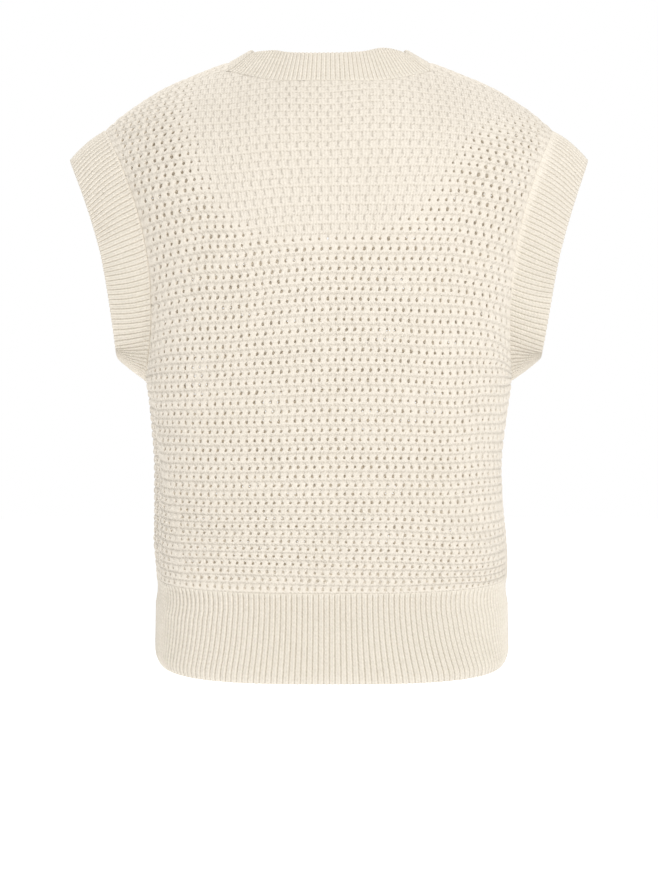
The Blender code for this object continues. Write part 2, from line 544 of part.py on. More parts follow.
def main():
    clear_scene()
    knit = {name: material("open_knit_" + name, (0.90, 0.85, 0.74), 0.9) for name in ("back", "front_l", "front_r")}
    rib = {name: material("rib_" + name, (0.91, 0.86, 0.75), 0.9) for name in ("hem_back", "hem_l", "hem_r", "arm_l", "arm_r", "neck", "band_l", "band_r")}

    shoulder, neck = 11, 6
    back_u = np.concatenate([-np.linspace(1, NECK_U, shoulder + 1)[:-1], np.linspace(-NECK_U, NECK_U, 2 * neck + 1), np.linspace(NECK_U, 1, shoulder + 1)[1:]])
    front_u = np.linspace(0, 1, shoulder + 1)
    rows = np.array([0.0, 2.5, 6.0, 10.5, 15.5, 20.5, ROW_UNDERARM, 25.7, 27.4, 30.5, 34.0, 38.0, 42.0, ROW_YOKE])
    back_shares = np.linspace(0, 1, 6)[1:]
    front_shares = np.array([0.16, 0.34, 0.54, 0.68, 0.80, 0.92, 1.0])
    under = int(np.argmin(np.abs(rows - ROW_UNDERARM)))

    grids, norms = {}, {}
    for name, u, shares in (("back", back_u, back_shares), ("l", front_u, front_shares), ("r", front_u, front_shares)):
        grid = panel(name, u, rows, shares)
        numbers = row_numbers(rows, len(shares))
        lifted = folded(name, grid, u, numbers)
        # the edges that meet another piece stay where both pieces have them
        lifted[:, -1] = grid[:, -1]
        lifted[-1] = grid[-1]
        if name == "back":
            lifted[:, 0] = grid[:, 0]
        grids[name] = lifted
        norms[name] = normals(lifted, away(lifted))
        downs = np.array([0.0, 0.34, 0.68, 0.88, 1.0])
        grids["hem_" + name] = hem(name, u, lifted[0], downs)
        norms["hem_" + name] = normals(grids["hem_" + name], away(grids["hem_" + name]))

    # side seams: back and fronts, hem ribs
    for name, index in (("l", -1), ("r", 0)):
        for prefix, top in (("", under + 1), ("hem_", None)):
            both = slice(0, top)
            back_n, front_n = norms[prefix + "back"], norms[prefix + name]
            mean = unit(back_n[both, index] + front_n[both, -1])
            back_n[both, index] = mean
            front_n[both, -1] = mean
            grids[prefix + name][both, -1] = grids[prefix + "back"][both, index]
    # shoulder seams
    for name in ("l", "r"):
        k = shoulder + 1
        back_edge = grids["back"][-1, -k:] if name == "l" else grids["back"][-1, :k][::-1]
        grids[name][-1] = back_edge
        back_n = norms["back"][-1, -k:] if name == "l" else norms["back"][-1, :k][::-1]
        mean = unit(back_n + norms[name][-1])
        norms[name][-1] = mean
        if name == "l":
            norms["back"][-1, -k:] = mean
        else:
            norms["back"][-1, :k] = mean[::-1]
    # hem seams
    for name in ("back", "l", "r"):
        mean = unit(norms[name][0] + norms["hem_" + name][0])
        norms[name][0] = mean
        norms["hem_" + name][0] = mean

    # armbands
    for name, side, index in (("l", 1, -1), ("r", -1, 0)):
        behind = grids["back"][under:, index][::-1]
        before = grids[name][under:, -1]
        ring = np.concatenate([behind, before[1:-1]])
        ring_n = np.concatenate([norms["back"][under:, index][::-1], norms[name][under:, -1][1:-1]])
        grid = armband(side, ring, np.array([0.0, 0.33, 0.67, 1.0]))
        around = np.concatenate([grid[:, -1:], grid, grid[:, :1]], axis=1)
        centre = ring.mean(axis=0) + np.array([side * 0.02, 0.0, 0.0])
        outward = (around - centre) * np.array([0.0, 1.0, 1.0])
        n = normals(around, outward)[:, 1:-1]
        mean = unit(n[0] + ring_n)
        n[0] = mean
        count = len(behind)
        norms["back"][under:, index] = mean[:count][::-1]
        norms[name][under + 1 : -1, -1] = mean[count:]
        norms[name][under, -1] = mean[count - 1]
        norms[name][-1, -1] = mean[0]
        grids["arm_" + name], norms["arm_" + name] = grid, n

    # the band: up the right front, round the neck and down the left front
    def front_line(values, name):
        return np.concatenate([values["hem_" + name][::-1, 0][:-1], values[name][:, 0]])

    right, left = front_line(grids, "r"), front_line(grids, "l")
    right_n, left_n = front_line(norms, "r"), front_line(norms, "l")
    nape = slice(shoulder, shoulder + 2 * neck + 1)
    seam = np.concatenate([right, grids["back"][-1, nape][1:-1], left[::-1]])
    seam_n = np.concatenate([right_n, norms["back"][-1, nape][1:-1], left_n[::-1]])
    smooth_n = seam_n.copy()
    for _ in range(2):
        smooth_n[1:-1] = unit(smooth_n[:-2] + 2 * smooth_n[1:-1] + smooth_n[2:])
    behind = step((seam[:, 1] + 0.045) / 0.05)
    lean = np.radians(14.0) * behind
    width = band_width(seam)
    shares = np.array([0.0, 0.35, 0.7, 1.0])
    grid, way = strip(seam, smooth_n, lean, width, shares)
    band_n = unit(np.cross(np.gradient(grid, axis=1), np.broadcast_to(way, grid.shape)))
    band_n *= np.sign((band_n * smooth_n).sum(axis=-1, keepdims=True))
    band_n[0] = unit(band_n[0] + seam_n)
    a, b = len(right) - 1, len(right) + 2 * neck - 1
    cuts = {"r": slice(0, a + 1), "neck": slice(a, b + 1), "l": slice(b, None)}
    norms["back"][-1, nape] = band_n[0, cuts["neck"]]
    for name, order in (("r", 1), ("l", -1)):
        line = band_n[0, cuts[name]][::order]
        count = len(norms["hem_" + name])
        norms["hem_" + name][:, 0] = line[:count][::-1]
        norms[name][:, 0] = line[count - 1 :]
    for name, order in (("r", 1), ("l", -1)):
        # the shoulder seam's inner end has the same normal on all four pieces that meet there
        end = shoulder if name == "r" else shoulder + 2 * neck
        norms["back"][-1, end] = norms[name][-1, 0]

    wall("back_panel", grids["back"], norms["back"], KNIT_WALL, False, (1, 1, 1, 1), knit["back"])
    wall("front_panel_l", grids["l"], norms["l"], KNIT_WALL, False, (1, 1, 1, 1), knit["front_l"])
    wall("front_panel_r", grids["r"], norms["r"], KNIT_WALL, False, (1, 1, 1, 1), knit["front_r"])
    wall("hem_rib_back", grids["hem_back"], norms["hem_back"], RIB_WALL, False, (1, 0, 1, 1), rib["hem_back"])
    wall("hem_rib_front_l", grids["hem_l"], norms["hem_l"], RIB_WALL, False, (1, 0, 1, 1), rib["hem_l"])
    wall("hem_rib_front_r", grids["hem_r"], norms["hem_r"], RIB_WALL, False, (1, 0, 1, 1), rib["hem_r"])
    wall("armband_l", grids["arm_l"], norms["arm_l"], RIB_WALL, True, (1, 0, 0, 0), rib["arm_l"])
    wall("armband_r", grids["arm_r"], norms["arm_r"], RIB_WALL, True, (1, 0, 0, 0), rib["arm_r"])
    for name, node, ends in (("neck", "neckband", (1, 1)), ("l", "front_band_l", (1, 0)), ("r", "front_band_r", (0, 1))):
        wall(node, grid[:, cuts[name]], band_n[:, cuts[name]], RIB_WALL, False, (1, 0, *ends), rib["band_" + name if name != "neck" else "neck"])

    horn = {i: material("button_%d" % i, (0.80, 0.70, 0.55), 0.35) for i in range(1, 6)}
    over = grid[:, cuts["r"]]
    over_n = band_n[:, cuts["r"]]
    for i, height in enumerate(BUTTON_HEIGHTS, start=1):
        middle = over[0] * 0.5 + over[-1] * 0.5
        middle_n = unit(over_n[0] + over_n[-1])
        order = np.argsort(middle[:, 2])
        place = np.array([np.interp(height, middle[order, 2], middle[order, k]) for k in range(3)])
        normal = unit(np.array([np.interp(height, middle[order, 2], middle_n[order, k]) for k in range(3)]))
        button("button_%d" % i, place + normal * 0.0009, normal, horn[i])


main()
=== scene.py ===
"""The knitted cardigan's surfaces: open eyelet knit, ribs, seams and buttons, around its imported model.

The surface functions are those of the model itself: the outer face of each panel is P(u, row), where row counts the rows
of eyelets upwards from the hem seam, and u runs across the panel from 0 at the centre (or at the front edge) to 1 at the
side seam and the armhole seam.
"""

import math

import bmesh
import bpy
import numpy as np
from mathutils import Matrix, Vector

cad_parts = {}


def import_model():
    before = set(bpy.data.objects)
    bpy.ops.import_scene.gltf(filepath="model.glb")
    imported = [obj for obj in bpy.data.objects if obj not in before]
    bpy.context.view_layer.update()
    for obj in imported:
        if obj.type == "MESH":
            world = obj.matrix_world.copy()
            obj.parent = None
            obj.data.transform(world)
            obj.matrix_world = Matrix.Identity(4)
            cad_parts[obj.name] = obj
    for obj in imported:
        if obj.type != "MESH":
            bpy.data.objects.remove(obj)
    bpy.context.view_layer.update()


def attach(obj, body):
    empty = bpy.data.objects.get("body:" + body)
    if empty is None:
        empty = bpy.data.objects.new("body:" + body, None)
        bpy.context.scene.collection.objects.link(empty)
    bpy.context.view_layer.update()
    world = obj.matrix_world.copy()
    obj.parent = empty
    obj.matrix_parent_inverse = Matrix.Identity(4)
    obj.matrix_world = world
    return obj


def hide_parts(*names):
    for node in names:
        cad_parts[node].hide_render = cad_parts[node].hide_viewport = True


BAND_WIDTH = 0.0285      # neckband and front bands

# ---- shape of the cloth ----
ROW_UNDERARM = 25.1      # row at which the side seam ends
ROW_YOKE = 46.4          # row at which the cloth starts to bend over the shoulders
YOKE_ROW = 0.0084        # height of a row above that
FRONT_EDGE = 0.0140      # half the width of the overlapping front bands
FRONT_STEP = 0.00215     # how far the over band stands out and the under band stands in
V_START = -0.215         # height at which the fronts start to part
NECK_X = 0.0945          # half width between the ends of the shoulder seams
NECK_U = 0.47            # where on the back's width the shoulder seam starts
TIP_X = 0.2119           # half width between the tops of the armhole seams

# The body below the shoulders. Each line is a row of the knit: heights of that row at the side or armhole seam, at the
# centre of the back and at the centre of the front, half width, depth to the back and to the front, squareness of the
# section, and sideways lean of the whole section.
BODY_COLUMNS = ("row", "z_side", "z_back", "z_front", "half_width", "y_back", "y_front", "square", "lean")
BODY = (
    (0.0, -0.4750, -0.4927, -0.4800, 0.1645, 0.1205, 0.1150, 3.00, -0.0026),
    (2.5, -0.4600, -0.4757, -0.4640, 0.1655, 0.1225, 0.1180, 2.95, -0.0024),
    (6.0, -0.4395, -0.4522, -0.4430, 0.1650, 0.1222, 0.1195, 2.90, -0.0018),
    (11.0, -0.4105, -0.4178, -0.4130, 0.1636, 0.1205, 0.1215, 2.85, -0.0008),
    (17.7, -0.3640, -0.3643, -0.3600, 0.1640, 0.1188, 0.1245, 2.80, 0.0000),
    (20.9, -0.3356, -0.3375, -0.3320, 0.1672, 0.1180, 0.1262, 2.80, 0.0004),
    (23.2, -0.3160, -0.3170, -0.3110, 0.1700, 0.1177, 0.1272, 2.80, 0.0004),
    (25.1, -0.2995, -0.3000, -0.2930, 0.1729, 0.1176, 0.1278, 2.80, 0.0004),
    (29.9, -0.2635, -0.2571, -0.2490, 0.1700, 0.1180, 0.1275, 2.80, 0.0000),
    (35.0, -0.2250, -0.2117, -0.2040, 0.1700, 0.1185, 0.1220, 2.75, 0.0000),
    (39.4, -0.1900, -0.1723, -0.1660, 0.1700, 0.1178, 0.1140, 2.70, 0.0000),
    (43.2, -0.1575, -0.1395, -0.1340, 0.1800, 0.1150, 0.1045, 2.70, 0.0000),
    (46.4, -0.1300, -0.1126, -0.1075, 0.1830, 0.1102, 0.0950, 2.70, 0.0000),
)

# The armhole seam, an upright ring leaning out over the shoulder; pinch draws its middle in towards the back.
ARM_MIDDLE_X, ARM_TOP_OUT, ARM_DEPTH = 0.1924, 0.0195, 0.0640
ARM_MIDDLE_Z, ARM_HALF_HEIGHT = -0.18155, 0.11795
ARM_PINCH = {1: 0.0244, -1: 0.0205}

# The free edge of the armband: middle, half size and pinch of its ring, and how square its lower half is.
CAP_MIDDLE_X, CAP_TOP_OUT, CAP_DEPTH = 0.2231, 0.0231, 0.0500
CAP_MIDDLE_Z, CAP_HALF_HEIGHT, CAP_SQUARE = -0.1845, 0.0940, 3.1
CAP_PINCH = {1: 0.0108, -1: 0.0085}
CAP_TURN = 0.20          # how far the ribs of the armband slope down outwards, in radians of the ring

# The seam between back and neckband, from the centre of the back to the end of the shoulder seam.
NECK_SEAM_COLUMNS = ("x", "y", "z")
NECK_SEAM = (
    (0.0000, 0.0745, -0.0262),
    (0.0250, 0.0730, -0.0261),
    (0.0490, 0.0660, -0.0246),
    (0.0670, 0.0555, -0.0203),
    (0.0826, 0.0415, -0.0148),
    (0.0945, 0.0290, -0.0100),
)

# The free edge of the neckband: how much wider than even the band is at x, and less where it bends over the shoulders.
NECK_RISE_COLUMNS = ("x", "wider")
NECK_RISE = (
    (-0.0945, -0.0045),
    (-0.0860, -0.0026),
    (-0.0740, 0.0022),
    (-0.0640, 0.0042),
    (-0.0500, 0.0036),
    (-0.0350, 0.0016),
    (-0.0150, 0.0002),
    (0.0300, 0.0002),
    (0.0500, 0.0012),
    (0.0650, 0.0016),
    (0.0800, -0.0018),
    (0.0945, -0.0050),
)

# Soft folds: on the back (u from -1 at the wearer's right to 1 at the left) or on a front, each runs from one row and u
# to another, stands out (+) or sinks in (-) by its depth, and has a half width in u.
FOLD_COLUMNS = ("panel", "u_low", "row_low", "u_high", "row_high", "half_width", "depth")
FOLDS = (
    ("back", 0.80, 0.0, 0.865, 25.0, 0.050, -0.0034),
    ("back", 0.91, 2.0, 0.950, 22.0, 0.045, 0.0018),
    ("back", -0.87, 1.0, -0.900, 20.0, 0.060, -0.0020),
    ("back", -0.66, 3.0, -0.280, 12.5, 0.100, 0.0024),
    ("back", -0.74, 5.5, -0.400, 14.0, 0.090, -0.0020),
    ("back", 0.55, 1.0, 0.350, 9.0, 0.110, 0.0014),
    ("back", 0.20, 3.0, -0.050, 10.0, 0.130, -0.0012),
    ("back", -0.55, 22.0, -0.980, 26.0, 0.090, -0.0018),
    ("l", 0.86, 1.0, 0.900, 23.0, 0.070, -0.0030),
    ("l", 0.70, 20.0, 0.960, 28.0, 0.080, -0.0024),
    ("l", 0.25, 1.0, 0.500, 13.0, 0.130, 0.0018),
    ("r", 0.84, 0.0, 0.880, 21.0, 0.080, -0.0026),
    ("r", 0.66, 22.0, 0.960, 27.0, 0.090, -0.0022),
    ("r", 0.35, 2.0, 0.580, 11.0, 0.120, 0.0020),
)


def smooth(xs, ys, x):
    """A smooth curve through the points (xs, ys), read at x; straight on beyond its ends."""
    xs, ys, x = np.asarray(xs, float), np.asarray(ys, float), np.asarray(x, float)
    steps = np.diff(ys) / np.diff(xs)
    slope = np.empty(len(xs))
    slope[0], slope[-1] = steps[0], steps[-1]
    weight = np.diff(xs)
    slope[1:-1] = (steps[:-1] * weight[1:] + steps[1:] * weight[:-1]) / (weight[1:] + weight[:-1])
    i = np.clip(np.searchsorted(xs, x) - 1, 0, len(xs) - 2)
    h = xs[i + 1] - xs[i]
    t = (x - xs[i]) / h
    inside = np.clip(t, 0.0, 1.0)
    a, b = inside * inside, inside * inside * inside
    y = (2 * b - 3 * a + 1) * ys[i] + (b - 2 * a + inside) * h * slope[i] + (3 * a - 2 * b) * ys[i + 1] + (b - a) * h * slope[i + 1]
    return y + np.where(t < 0, t * h * slope[0], 0.0) + np.where(t > 1, (t - 1) * h * slope[-1], 0.0)


def body(column, row):
    at = BODY_COLUMNS.index(column)
    return smooth([line[0] for line in BODY], [line[at] for line in BODY], row)


def step(x):
    """0 below 0, 1 above 1, smooth between."""
    x = np.clip(x, 0.0, 1.0)
    return x * x * (3 - 2 * x)


def edge_point(side, front, row):
    """The side seam, and above it the armhole seam, at a row."""
    z = float(body("z_side", row))
    if row <= ROW_UNDERARM:
        return np.array([float(body("half_width", row)), 0.0, z])
    up = min(max((z - ARM_MIDDLE_Z) / ARM_HALF_HEIGHT, -1.0), 1.0)
    across = math.sqrt(1 - up * up)
    return np.array([ARM_MIDDLE_X + ARM_TOP_OUT * up - ARM_PINCH[side] * across**2, ARM_DEPTH * across, z])


def section(side, front, row, u):
    """Points of one half of a row, at shares u of its length from the centre (or from the front edge) to the seam."""
    edge = edge_point(side, front, row)
    depth = float(body("y_front" if front else "y_back", row))
    middle = float(body("z_front" if front else "z_back", row))
    n = float(body("square", row))
    half = edge[0] / (1 - (edge[1] / depth) ** n) ** (1 / n)
    angle = np.linspace(0.0, math.atan2(edge[0], max(edge[1], 0.0)), 220)
    reach = (np.abs(np.sin(angle) / half) ** n + np.abs(np.cos(angle) / depth) ** n) ** (-1 / n)
    x, y = reach * np.sin(angle), reach * np.cos(angle)
    along = np.concatenate([[0.0], np.cumsum(np.hypot(np.diff(x), np.diff(y)))])
    start = 0.0
    if front:
        start = float(np.interp(front_edge(middle), x, along))
    at = start + (along[-1] - start) * np.abs(u)
    share = at / along[-1]
    power = 3.0 - 1.0 * float(step(row / 18.0))
    z = middle + (edge[2] - middle) * share**power
    points = np.stack([np.interp(at, along, x), np.interp(at, along, y), z], axis=-1)
    if front:
        points[:, 1] *= -1
    points[:, 0] = side * points[:, 0]
    points[:, 0] += float(body("lean", row))
    return points


def front_edge(z):
    """Half the gap between the fronts at the height z, measured to the seams of their bands."""
    t = np.clip((z - V_START) / -V_START, 0.0, 1.2)
    return FRONT_EDGE + (NECK_X - FRONT_EDGE) * t**1.12


def ridge(x):
    """Height of the shoulder line."""
    return 0.0045 - 0.28 * (x - 0.088) - 2.15 * (x - 0.088) ** 2 + 0.0026 * step((x - 0.120) / 0.045) * step((0.226 - x) / 0.035)


def seam_top(side, u, front):
    """Top of a profile: point of the neck or shoulder seam, the direction in which the back reaches it, and the point of
    the shoulder line in front of it."""
    share = (u - NECK_U) / (1 - NECK_U) if not front else u
    if not front and u < NECK_U:
        x = NECK_X * u / NECK_U
        xs = [line[0] for line in NECK_SEAM]
        point = np.array([x, float(smooth(xs, [line[1] for line in NECK_SEAM], x)), float(smooth(xs, [line[2] for line in NECK_SEAM], x))])
        blend = (u / NECK_U) ** 2
        way = (1 - blend) * np.array([0.0, -0.62, 0.78]) + blend * np.array([-0.02, -0.80, 0.60])
    else:
        x = NECK_X + (TIP_X - 0.0005 - NECK_X) * share
        back = 0.0290 + (0.0089 - 0.0290) * share
        drop = 0.0120 + (0.0012 - 0.0120) * share**0.8
        point = np.array([x, back, float(ridge(x)) - drop])
        way = (1 - share) * np.array([-0.02, -0.80, 0.60]) + share * np.array([0.10, -0.96, 0.25])
    top = np.array([NECK_X + (TIP_X - NECK_X) * share, 0.0, float(ridge(NECK_X + (TIP_X - NECK_X) * share))])
    turn = np.array([side, 1.0, 1.0])
    return point * turn, way * turn / np.linalg.norm(way), top * turn


def hermite(a, da, b, db, t):
    t = np.asarray(t, float)[:, None]
    return (2 * t**3 - 3 * t**2 + 1) * a + (t**3 - 2 * t**2 + t) * da + (3 * t**2 - 2 * t**3) * b + (t**3 - t**2) * db


def yoke(side, front, u, base, below, t):
    """The profile from the yoke row (base, with a point just below it) up to the seam, at shares t of the curve."""
    seam, way, top = seam_top(side, u, front)
    start = (base - below) / np.linalg.norm(base - below)
    if not front:
        reach = np.linalg.norm(seam - base)
        return hermite(base, start * reach * (1.0 + 0.25 * u), seam, way * reach * (1.0 - 0.15 * u), t)
    # up the chest to the shoulder line, then over it to the seam behind
    split = 0.80
    t = np.asarray(t, float)
    reach = np.linalg.norm(top - base)
    over = np.linalg.norm(seam - top)
    level = np.array([0.0, 1.0, 0.0])
    first = hermite(base, start * reach * (1.0 + 0.2 * u), top, level * reach * (1.0 - 0.15 * u), np.clip(t / split, 0, 1))
    second = hermite(top, level * over, seam, -way * over, np.clip((t - split) / (1 - split), 0, 1))
    return np.where((t <= split)[:, None], first, second)


def fold_lift(panel, u, row):
    """How far the folds lift the cloth at u and row."""
    lift = np.zeros(np.broadcast(u, row).shape)
    for name, u_low, row_low, u_high, row_high, half_width, depth in FOLDS:
        if name != panel:
            continue
        along = (row - row_low) / (row_high - row_low)
        middle = u_low + (u_high - u_low) * along + 0.012 * np.sin(along * 7.0 + row_low)
        fade = step(along / 0.25 + 0.3) * step((1 - along) / 0.35 + 0.2)
        lift = lift + depth * fade * np.exp(-(((u - middle) / half_width) ** 2))
    return lift


def unit(v):
    return v / np.maximum(np.linalg.norm(v, axis=-1, keepdims=True), 1e-12)


def normals(grid, outward):
    """Normals of a grid of points [i, j], turned to the side that outward (an array or a function's result) points to."""
    n = unit(np.cross(np.gradient(grid, axis=1), np.gradient(grid, axis=0)))
    sign = np.sign((n * outward).sum(axis=-1, keepdims=True))
    return n * np.where(sign == 0, 1, sign)


def away(grid):
    """From the axis of the body outwards: tells the outer side of a panel."""
    out = grid - np.array([0.0, 0.0, 0.0])
    out = out * np.array([1.0, 1.6, 0.0])
    out[..., 2] += 0.35 * np.clip((grid[..., 2] + 0.20) / 0.1, 0.0, 1.5)
    return out


def panel(name, u, rows, shares):
    """Grid [row, u] of a panel's outer face: rows below the yoke, then shares of the profiles over the shoulder."""
    front = name != "back"
    grid = np.empty((len(rows) + len(shares), len(u), 3))
    lower = np.empty((len(rows) + 1, len(u), 3))
    for i, row in enumerate(list(rows) + [ROW_YOKE - 0.3]):
        if front:
            lower[i] = section(1 if name == "l" else -1, True, row, u)
        else:
            right, left = section(-1, False, row, u[u < 0]), section(1, False, row, u[u >= 0])
            lower[i] = np.concatenate([right, left])
    grid[: len(rows)] = lower[:-1]
    for j, share in enumerate(u):
        side = (1 if name == "l" else -1) if front else (1 if share >= 0 else -1)
        if len(shares):
            grid[len(rows) :, j] = yoke(side, front, abs(float(share)), lower[-2, j], lower[-1, j], shares)
    if front:
        # the over band lies on the under band: the edges of the fronts part by the thickness of the cloth
        gap = np.cumsum(np.linalg.norm(np.diff(grid, axis=1, prepend=grid[:, :1]), axis=-1), axis=1)
        closed = step((-0.115 - grid[:, :1, 2]) / 0.045)
        grid[..., 1] += (1 if name == "l" else -1) * FRONT_STEP * closed * (1 - step(gap / 0.030))
    return grid


def row_numbers(rows, count):
    return np.concatenate([rows, np.linspace(ROW_YOKE, ROW_YOKE + 12, count + 1)[1:]])


def folded(name, grid, u, rows):
    lift = fold_lift(name, np.asarray(u)[None, :], np.asarray(rows)[:, None])
    return grid + normals(grid, away(grid)) * lift[..., None]


def hem(name, u, seam, downs):
    """Grid [down, u] of a hem rib's outer face below the given seam points; downs are shares of its height."""
    front = name != "back"
    depth = {"back": 0.1215, "l": 0.1165, "r": 0.1165}[name]
    low = -0.5745 if not front else -0.5590
    side_low = -0.5540
    half, n = 0.1662, 2.85
    angle = np.linspace(0.0, math.pi / 2, 260)
    reach = (np.abs(np.sin(angle) / half) ** n + np.abs(np.cos(angle) / depth) ** n) ** (-1 / n)
    x, y = reach * np.sin(angle), reach * np.cos(angle)
    along = np.concatenate([[0.0], np.cumsum(np.hypot(np.diff(x), np.diff(y)))])
    start = float(np.interp(FRONT_EDGE, x, along)) if front else 0.0
    at = start + (along[-1] - start) * np.abs(u)
    share = at / along[-1]
    side = (1 if name == "l" else -1) * np.ones(len(u)) if front else np.where(np.asarray(u) < 0, -1.0, 1.0)
    bottom = np.stack([side * np.interp(at, along, x) - 0.0028, np.interp(at, along, y) * (-1 if front else 1), low + (side_low - low) * share**3.3], axis=-1)
    if front:
        gap = (along[-1] - start) * np.abs(u)
        bottom[:, 1] += (1 if name == "l" else -1) * FRONT_STEP * (1 - step(gap / 0.030))
    grid = np.empty((len(downs), len(u), 3))
    flat = np.array([1.0, 1.0, 0.0])
    outward = unit((bottom * flat) ** 3 * np.array([1 / half**2, 1 / depth**2, 0.0]) + 1e-9)
    for i, down in enumerate(downs):
        point = seam + (bottom - seam) * down
        tuck = -0.0016 * np.sin(math.pi * min(down * 3.0, 1.0)) if down < 1 / 3 else 0.0
        curl = -0.0042 * max(0.0, (down - 0.86) / 0.14) ** 2
        grid[i] = point + outward * (tuck + curl)
    return grid


def cap_ring(side, place):
    """The free edge of the armband at places 0 (top of the shoulder) to 1 (underarm) behind, and 1 to 2 in front."""
    turn = np.where(place <= 1, place, 2 - place) * math.pi
    turn = turn + CAP_TURN * np.sin(turn)
    up, across = np.cos(turn), np.sin(turn)
    power = 1 - (1 - 2 / CAP_SQUARE) * step((0.3 - up) / 0.9)
    z = CAP_MIDDLE_Z + CAP_HALF_HEIGHT * np.sign(up) * np.abs(up) ** np.where(up < 0, power**0.5, 1.0)
    y = CAP_DEPTH * np.abs(across) ** power
    x = CAP_MIDDLE_X + CAP_TOP_OUT * np.sign(up) * np.abs(up) - CAP_PINCH[side] * across**2
    return np.stack([side * x, np.where(place <= 1, y, -y), z], axis=-1)


def armband(side, ring, outs):
    """Grid [out, place] of an armband's outer face. ring is the armhole seam, from the shoulder down behind, under the arm
    and up in front, without its first point repeated; outs are shares of the width."""
    size = np.linalg.norm(np.roll(ring, -1, axis=0) - ring, axis=1)
    y, z = ring[:, 1], (ring[:, 2] - ARM_MIDDLE_Z) / ARM_HALF_HEIGHT
    turn = np.arctan2(np.abs(y) / ARM_DEPTH, z) / math.pi
    place = np.where(y >= -1e-9, turn, 2 - turn)
    edge = cap_ring(side, place)
    grid = np.empty((len(outs), len(ring), 3))
    middle = ring.mean(axis=0)
    swell = unit((ring - middle) * np.array([0.0, 1.0, 1.0]))
    for i, out in enumerate(outs):
        bulge = 0.0030 - 0.0022 * step((0.35 - z) / 1.2)
        grid[i] = ring + (edge - ring) * out + swell * (bulge * math.sin(math.pi * out))[:, None]
    return grid


def band_width(seam):
    """Width of the neckband and the front bands along the points of their seam."""
    behind = step((seam[:, 1] + 0.045) / 0.05)
    rise = smooth([line[0] for line in NECK_RISE], [line[1] for line in NECK_RISE], seam[:, 0])
    return BAND_WIDTH + 0.0015 * behind + rise * behind


def strip(seam, normal, lean, width, shares):
    """Grid [share, place] of a band that starts at the seam points and leans up from the cloth by the given angles."""
    along = np.gradient(seam, axis=0)
    along = unit(along)
    inward = unit(np.cross(along, normal))
    way = inward * np.cos(lean)[:, None] + normal * np.sin(lean)[:, None]
    return np.stack([seam + way * width[:, None] * share for share in shares]), way

# Finer creases of the same cloth, below the size of the folds above.
FOLDS = FOLDS + (
    ("back", 0.58, 18.0, 0.99, 25.5, 0.070, -0.0016),
    ("back", 0.64, 27.0, 0.97, 25.0, 0.060, -0.0013),
    ("back", -0.50, 28.5, -0.96, 25.2, 0.060, -0.0012),
    ("back", -0.30, 0.0, -0.22, 7.0, 0.060, -0.0011),
    ("back", 0.42, 0.0, 0.47, 5.0, 0.050, -0.0010),
    ("back", -0.52, 0.0, -0.47, 4.0, 0.045, 0.0009),
    ("back", 0.06, 0.0, 0.03, 4.5, 0.050, 0.0008),
    ("back", 0.66, 40.0, 0.52, 50.0, 0.080, -0.0010),
    ("back", -0.70, 41.0, -0.56, 51.0, 0.080, -0.0011),
    ("l", 0.45, 30.0, 0.94, 27.0, 0.070, -0.0014),
    ("l", 0.12, 0.0, 0.20, 6.0, 0.060, -0.0012),
    ("l", 0.60, 0.0, 0.55, 5.0, 0.060, 0.0010),
    ("r", 0.50, 31.0, 0.93, 27.5, 0.070, -0.0014),
    ("r", 0.16, 0.0, 0.24, 7.0, 0.060, -0.0011),
    ("r", 0.62, 0.0, 0.66, 5.5, 0.060, 0.0010),
)

# ---------------------------------------------------------------- sizes of the knit (metres)
COLUMN = 0.00728         # from one eyelet to the next along a row
COLUMN_LOW = 0.00700     # the same at the hem seam, where the cloth is drawn in
ROW_STEP = 0.4           # spacing of the tables, in rows
HOLE_WIDE, HOLE_HIGH = 0.168, 0.196   # half an eyelet, in columns and rows
HEM_RIB, ARM_RIB, NECK_RIB = 0.00485, 0.00505, 0.00450
STITCH = 0.0036          # height of a stitch in the ribs
RIB_THICK = 0.0034

# How far up the courses of the back lie from an even spacing, in rows: they sag and swing with the drape of the cloth.
SWING_U = (-0.61, -0.49, -0.25, 0.0, 0.25, 0.49, 0.61)
SWING_COLUMNS = ("row", "lift at each of the places above")
SWING = (
    (0.0, (-0.25, 0.05, -0.10, 0.05, 0.25, 0.15, 0.00)),
    (4.0, (-0.75, -0.55, 0.05, 0.25, 0.45, 0.30, 0.00)),
    (8.0, (-0.55, -0.45, 0.25, 0.40, 0.40, 0.20, 0.10)),
    (12.0, (0.40, 0.25, 0.35, 0.35, 0.25, 0.10, 0.10)),
    (18.0, (0.45, 0.20, 0.30, 0.35, 0.20, 0.15, 0.25)),
    (24.0, (0.35, 0.10, 0.35, 0.40, 0.15, -0.10, -0.18)),
    (27.0, (0.32, 0.18, 0.40, 0.42, 0.12, -0.20, -0.28)),
    (30.0, (0.58, 0.45, 0.50, 0.45, 0.18, -0.16, -0.10)),
    (34.0, (1.05, 0.90, 0.60, 0.60, 0.33, 0.06, 0.26)),
    (38.0, (1.35, 1.12, 0.72, 0.59, 0.44, 0.32, 0.58)),
    (42.0, (1.60, 1.20, 0.76, 0.60, 0.50, 0.44, 0.80)),
    (46.0, (1.70, 1.45, 0.90, 0.61, 0.58, 0.56, 0.90)),
    (50.0, (1.65, 1.55, 1.08, 0.63, 0.68, 0.70, 1.00)),
    (54.0, (1.60, 1.55, 1.00, 0.11, 0.55, 0.75, 1.10)),
    (57.0, (1.55, 1.45, 0.80, -0.35, 0.10, 0.70, 1.10)),
)

# Columns of the back between the shoulders, by how much wider they get upwards.
FAN_COLUMNS = ("row", "wider")
FAN = ((34.0, 0.0), (38.0, 0.05), (40.5, 0.10), (43.0, 0.15), (46.0, 0.21), (49.0, 0.27), (53.0, 0.31))

rng = np.random.default_rng(11)


